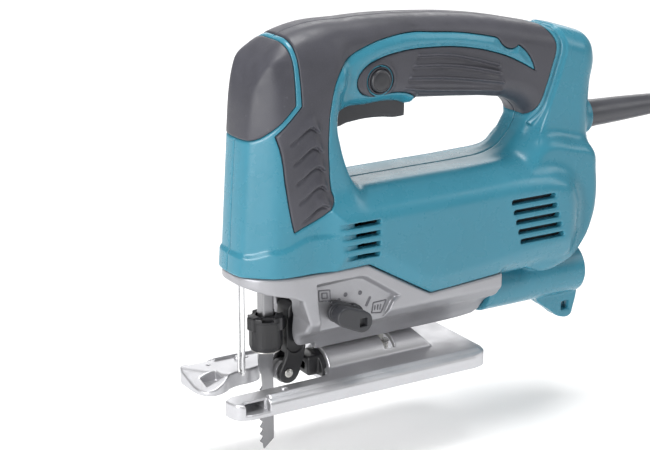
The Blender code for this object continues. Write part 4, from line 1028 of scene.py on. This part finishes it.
roller = revolve("roller_wheel", [(6.5, 3.4), (6.5, 1.2), (5.7, 0.9), (5.5, 0), (5.7, -0.9),
                                  (6.5, -1.2), (6.5, -3.4), (3.2, -3.4), (2.9, -3), (1.8, -3),
                                  (1.8, 3), (2.9, 3), (3.2, 3.4)], (-33, 0, 8.5), "y")
place(roller, "roller", STEEL, "steel", "guide_roller")
pin = revolve("roller_axle", [(0, 7.3), (1.9, 7.3), (2.5, 6.9), (2.5, 6.45), (1.5, 6.4),
                              (1.5, -6.4), (2.5, -6.45), (2.5, -6.9), (1.9, -7.3), (1, -7.3),
                              (0.8, -6.9), (0, -6.9)], (-33, 0, 8.5), "y")
place(pin, "fork", ZINC, "steel", "roller_pin")

# -------- wire guard

wire = tube("guard_wire", 1, 4)
path = [(-59, -2.5, 65.5), (-59, -2.5, 40), (-59, -2.5, 13.5)]
path += [(-59, -2.5 * cos(pi * s / 12), 13.5 - 2.5 * sin(pi * s / 12))
         for s in range(1, 12)]
path += [(-59, 2.5, 13.5), (-59, 2.5, 40), (-59, 2.5, 65.5)]
spline = wire.splines.new("POLY")
spline.points.add(len(path) - 1)
for point, knot in zip(path, spline.points):
    knot.co = (*[c * MM for c in point], 1)
place(add_object("guard_wire", wire), FRAME, WIRE, "steel", "wire_guard")

# -------- selector

END_X, END_Z = LEVER_X - 10.7, LEVER_Z + 4.4
g = Grid((-22.5, 3.5), (-39.2, -23.5), (34.5, 54), 0.3)
along = np.array([END_X - LEVER_X, END_Z - LEVER_Z])
length = float(np.hypot(*along))
along = along / length
u = (g.x - LEVER_X) * along[0] + (g.z - LEVER_Z) * along[1]
v = -(g.x - LEVER_X) * along[1] + (g.z - LEVER_Z) * along[0]
t = np.clip(u / length, 0, 1)
stadium = np.sqrt((u - t * length) ** 2 + v ** 2) - (5.9 - 0.4 * t)
knob = rounded(stadium, slab(g.y, -37.8, -25.6), 1)
post = radius_from(g.x, g.z, (LEVER_X, LEVER_Z))
knob = smin(knob, rounded(post - 7, slab(g.y, -27.2, -24.9), 0.5), 0.8)
knob = smin(knob, rounded(maximum(slab(u, 4, 17.2), abs(v + 5.2) - 1.3),
                          slab(g.y, -27.4, -25.6), 0.4), 0.6)
waist = rounded(stadium + 1.3, slab(g.y, -40, -20), 0.1)
band = maximum(slab(g.y, -31.2, -28.2), -waist)
knob = smax(knob, -band, 0.8)
knob = smax(knob, -box(g, (LEVER_X - 2.4, LEVER_X + 2.4), (-41, -35.2),
                       (LEVER_Z - 2.4, LEVER_Z + 2.4), 0.4), 0.4)
place(carve("selector_knob", g, knob), "selector", LEVER_GREY, "black_plastic", "change_lever")


def mark_field(g):
    """Raised dots, a dash and two framed signs round the selector."""
    level = slab(g.y, PANEL_Y - 0.4, PANEL_Y + 0.4)
    d = np.full((len(g.axes[0]), len(g.axes[1]), len(g.axes[2])), 9, np.float32)
    for x, z in ((-12, 52.6), (-7.6, 55.2), (1.7, 54.6)):
        d = minimum(d, np.sqrt((g.x - x) ** 2 + (g.z - z) ** 2
                               + ((g.y - PANEL_Y) * 2.1) ** 2) - 1.3)
    lines = [([(5.9, 46.6), (8, 50.6)], False),
             ([(-24.6, 60.4), (-17.6, 59.6), (-17.2, 53.4), (-24.4, 54.2)], True),
             ([(-22.6, 58.6), (-19.4, 58.3), (-19.2, 55.2), (-22.4, 55.6)], True),
             ([(10.4, 47.2), (18.6, 47.4), (15.4, 40.6), (9.4, 41.4)], True),
             ([(11.6, 45.4), (11.3, 43)], False), ([(13.4, 45.4), (13.1, 42.8)], False),
             ([(15.2, 45.4), (14.7, 42.6)], False)]
    for loop, closed in lines:
        line = abs(g.flat(loop, smooth=False, closed=closed))
        width = 0.75 if loop[0] == (5.9, 46.6) else 0.34
        d = minimum(d, maximum(line - width, level))
    return d


# the raised marks carry the dark grey painted shade
g = Grid((-27, 21), (-26, -24), (37, 63), 0.24)
place(carve("dial_marks", g, mark_field(g)), FRAME, SHADED_MARK, "cast_aluminium")

# -------- trigger and lock button

TRIGGER = [(-4, 145.4), (-3.4, 156), (-2, 164.5, 1), (34, 165, 1), (39.8, 158), (40.6, 151),
           (40.4, 145.4, 1), (34, 145.2), (26, 146.3), (15, 146.8), (4, 146)]
g = Grid((-6, 43), (-10, 10), (143, 167), 0.4)
d = rounded(g.flat(TRIGGER), abs(g.y) - 8.2, 1.5)
for y0 in (-3.4, 0, 3.4):
    line = maximum(abs(g.y - y0) - 0.45, g.z - 148.6)
    d = smax(d, -maximum(line, maximum(slab(g.x, 3, 34), 145 - g.z + 0.9)), 0.4)
place(carve("trigger_key", g, d), "trigger", LEVER_GREY, "grey_plastic", "trigger")

place(revolve("lock_bezel", [(7.45, -12.6), (7.45, -18.9), (7.2, -19.4), (6.8, -19.3),
                             (6.55, -18.6), (6.55, -12.6)], (LOCK_X, 0, LOCK_Z), "y", 64),
      FRAME, RUBBER, "grey_elastomer")
button = revolve("lock_pin", [(0, -20.9), (2, -20.95), (4.2, -20.9), (5, -20.5), (5.3, -20.9),
                              (5.8, -20.6), (6.25, -19.8), (6.25, -12.6), (0, -12.6)],
                 (LOCK_X, 0, LOCK_Z), "y", 64)
place(button, "lock", LEVER_GREY, "grey_plastic", "lock_button")

# -------- carried-over CAD pieces

FINISH = [
    (STEEL, "gear_shaft fork_pin selector_shaft bearing_front bearing_rear crank_gear"),
    (IRON, "armature field"), (COPPER, "commutator"), (CAST, "bearing_plate"),
    (BRONZE, "lower_bush upper_bush"), (BLACK, "fan switch cord_tie"),
    (LEVER_GREY, "fan_baffle"), (CARBON, "brush_left brush_right"),
    (BRASS, "brush_holder_left brush_holder_right plug_pin_a plug_pin_b"),
    (ZINC, "base_bolt bolt_washer")]
finish = {name: mat for mat, names in FINISH for name in names.split()}
for name, obj in nodes.items():
    mat = finish.get(name) or (ZINC if name.startswith("housing_screw") else None)
    if mat:
        obj.data.materials.clear()
        obj.data.materials.append(mat)
    elif not obj.hide_render:
        print("NO FINISH", name)

# -------- floor and light


def ground():
    mesh = bpy.data.meshes.new("floor")
    s = 6
    mesh.from_pydata([(-s, -s, FLOOR * MM), (s, -s, FLOOR * MM), (s, s, FLOOR * MM),
                      (-s, s, FLOOR * MM)], [], [(0, 1, 2, 3)])
    obj = add_object("floor", mesh)
    mat = bpy.data.materials.new("pale floor")
    mat.use_nodes = True
    put(mat.node_tree.nodes["Principled BSDF"], Base_Color=(0.86, 0.86, 0.86, 1), Roughness=0.9,
        Specular_IOR_Level=0.1, Emission_Color=(1, 1, 1, 1), Emission_Strength=0.18)
    mesh.materials.append(mat)


def lamp(name, at, target, size, power):
    data = bpy.data.lights.new(name, "AREA")
    data.shape = "RECTANGLE"
    data.size, data.size_y = size
    data.energy = power
    obj = add_object(name, data)
    obj.location = at
    obj.rotation_mode = "QUATERNION"
    obj.rotation_quaternion = (Vector(target) - Vector(at)).to_track_quat("-Z", "Y")


ground()
lamp("key", (-1.75, -0.42, 1), (-0.02, 0, 0.1), (0.6, 0.9), 12)
lamp("strip", (-1.15, -0.62, 0.3), (-0.03, 0, 0.12), (0.16, 0.5), 7.5)
lamp("top", (0.1, 0.1, 1.6), (0.03, 0, 0.1), (0.9, 0.7), 23)
lamp("far card", (0.95, 1.5, 0.8), (0.03, 0, 0.1), (1.9, 0.8), 9)
lamp("rim", (1.3, -0.9, 0.9), (0.08, 0, 0.1), (0.5, 0.9), 4)
world = bpy.data.worlds.new("studio")
scene.world = world
world.use_nodes = True
put(world.node_tree.nodes["Background"], Color=(1, 1, 1, 1), Strength=0.34)
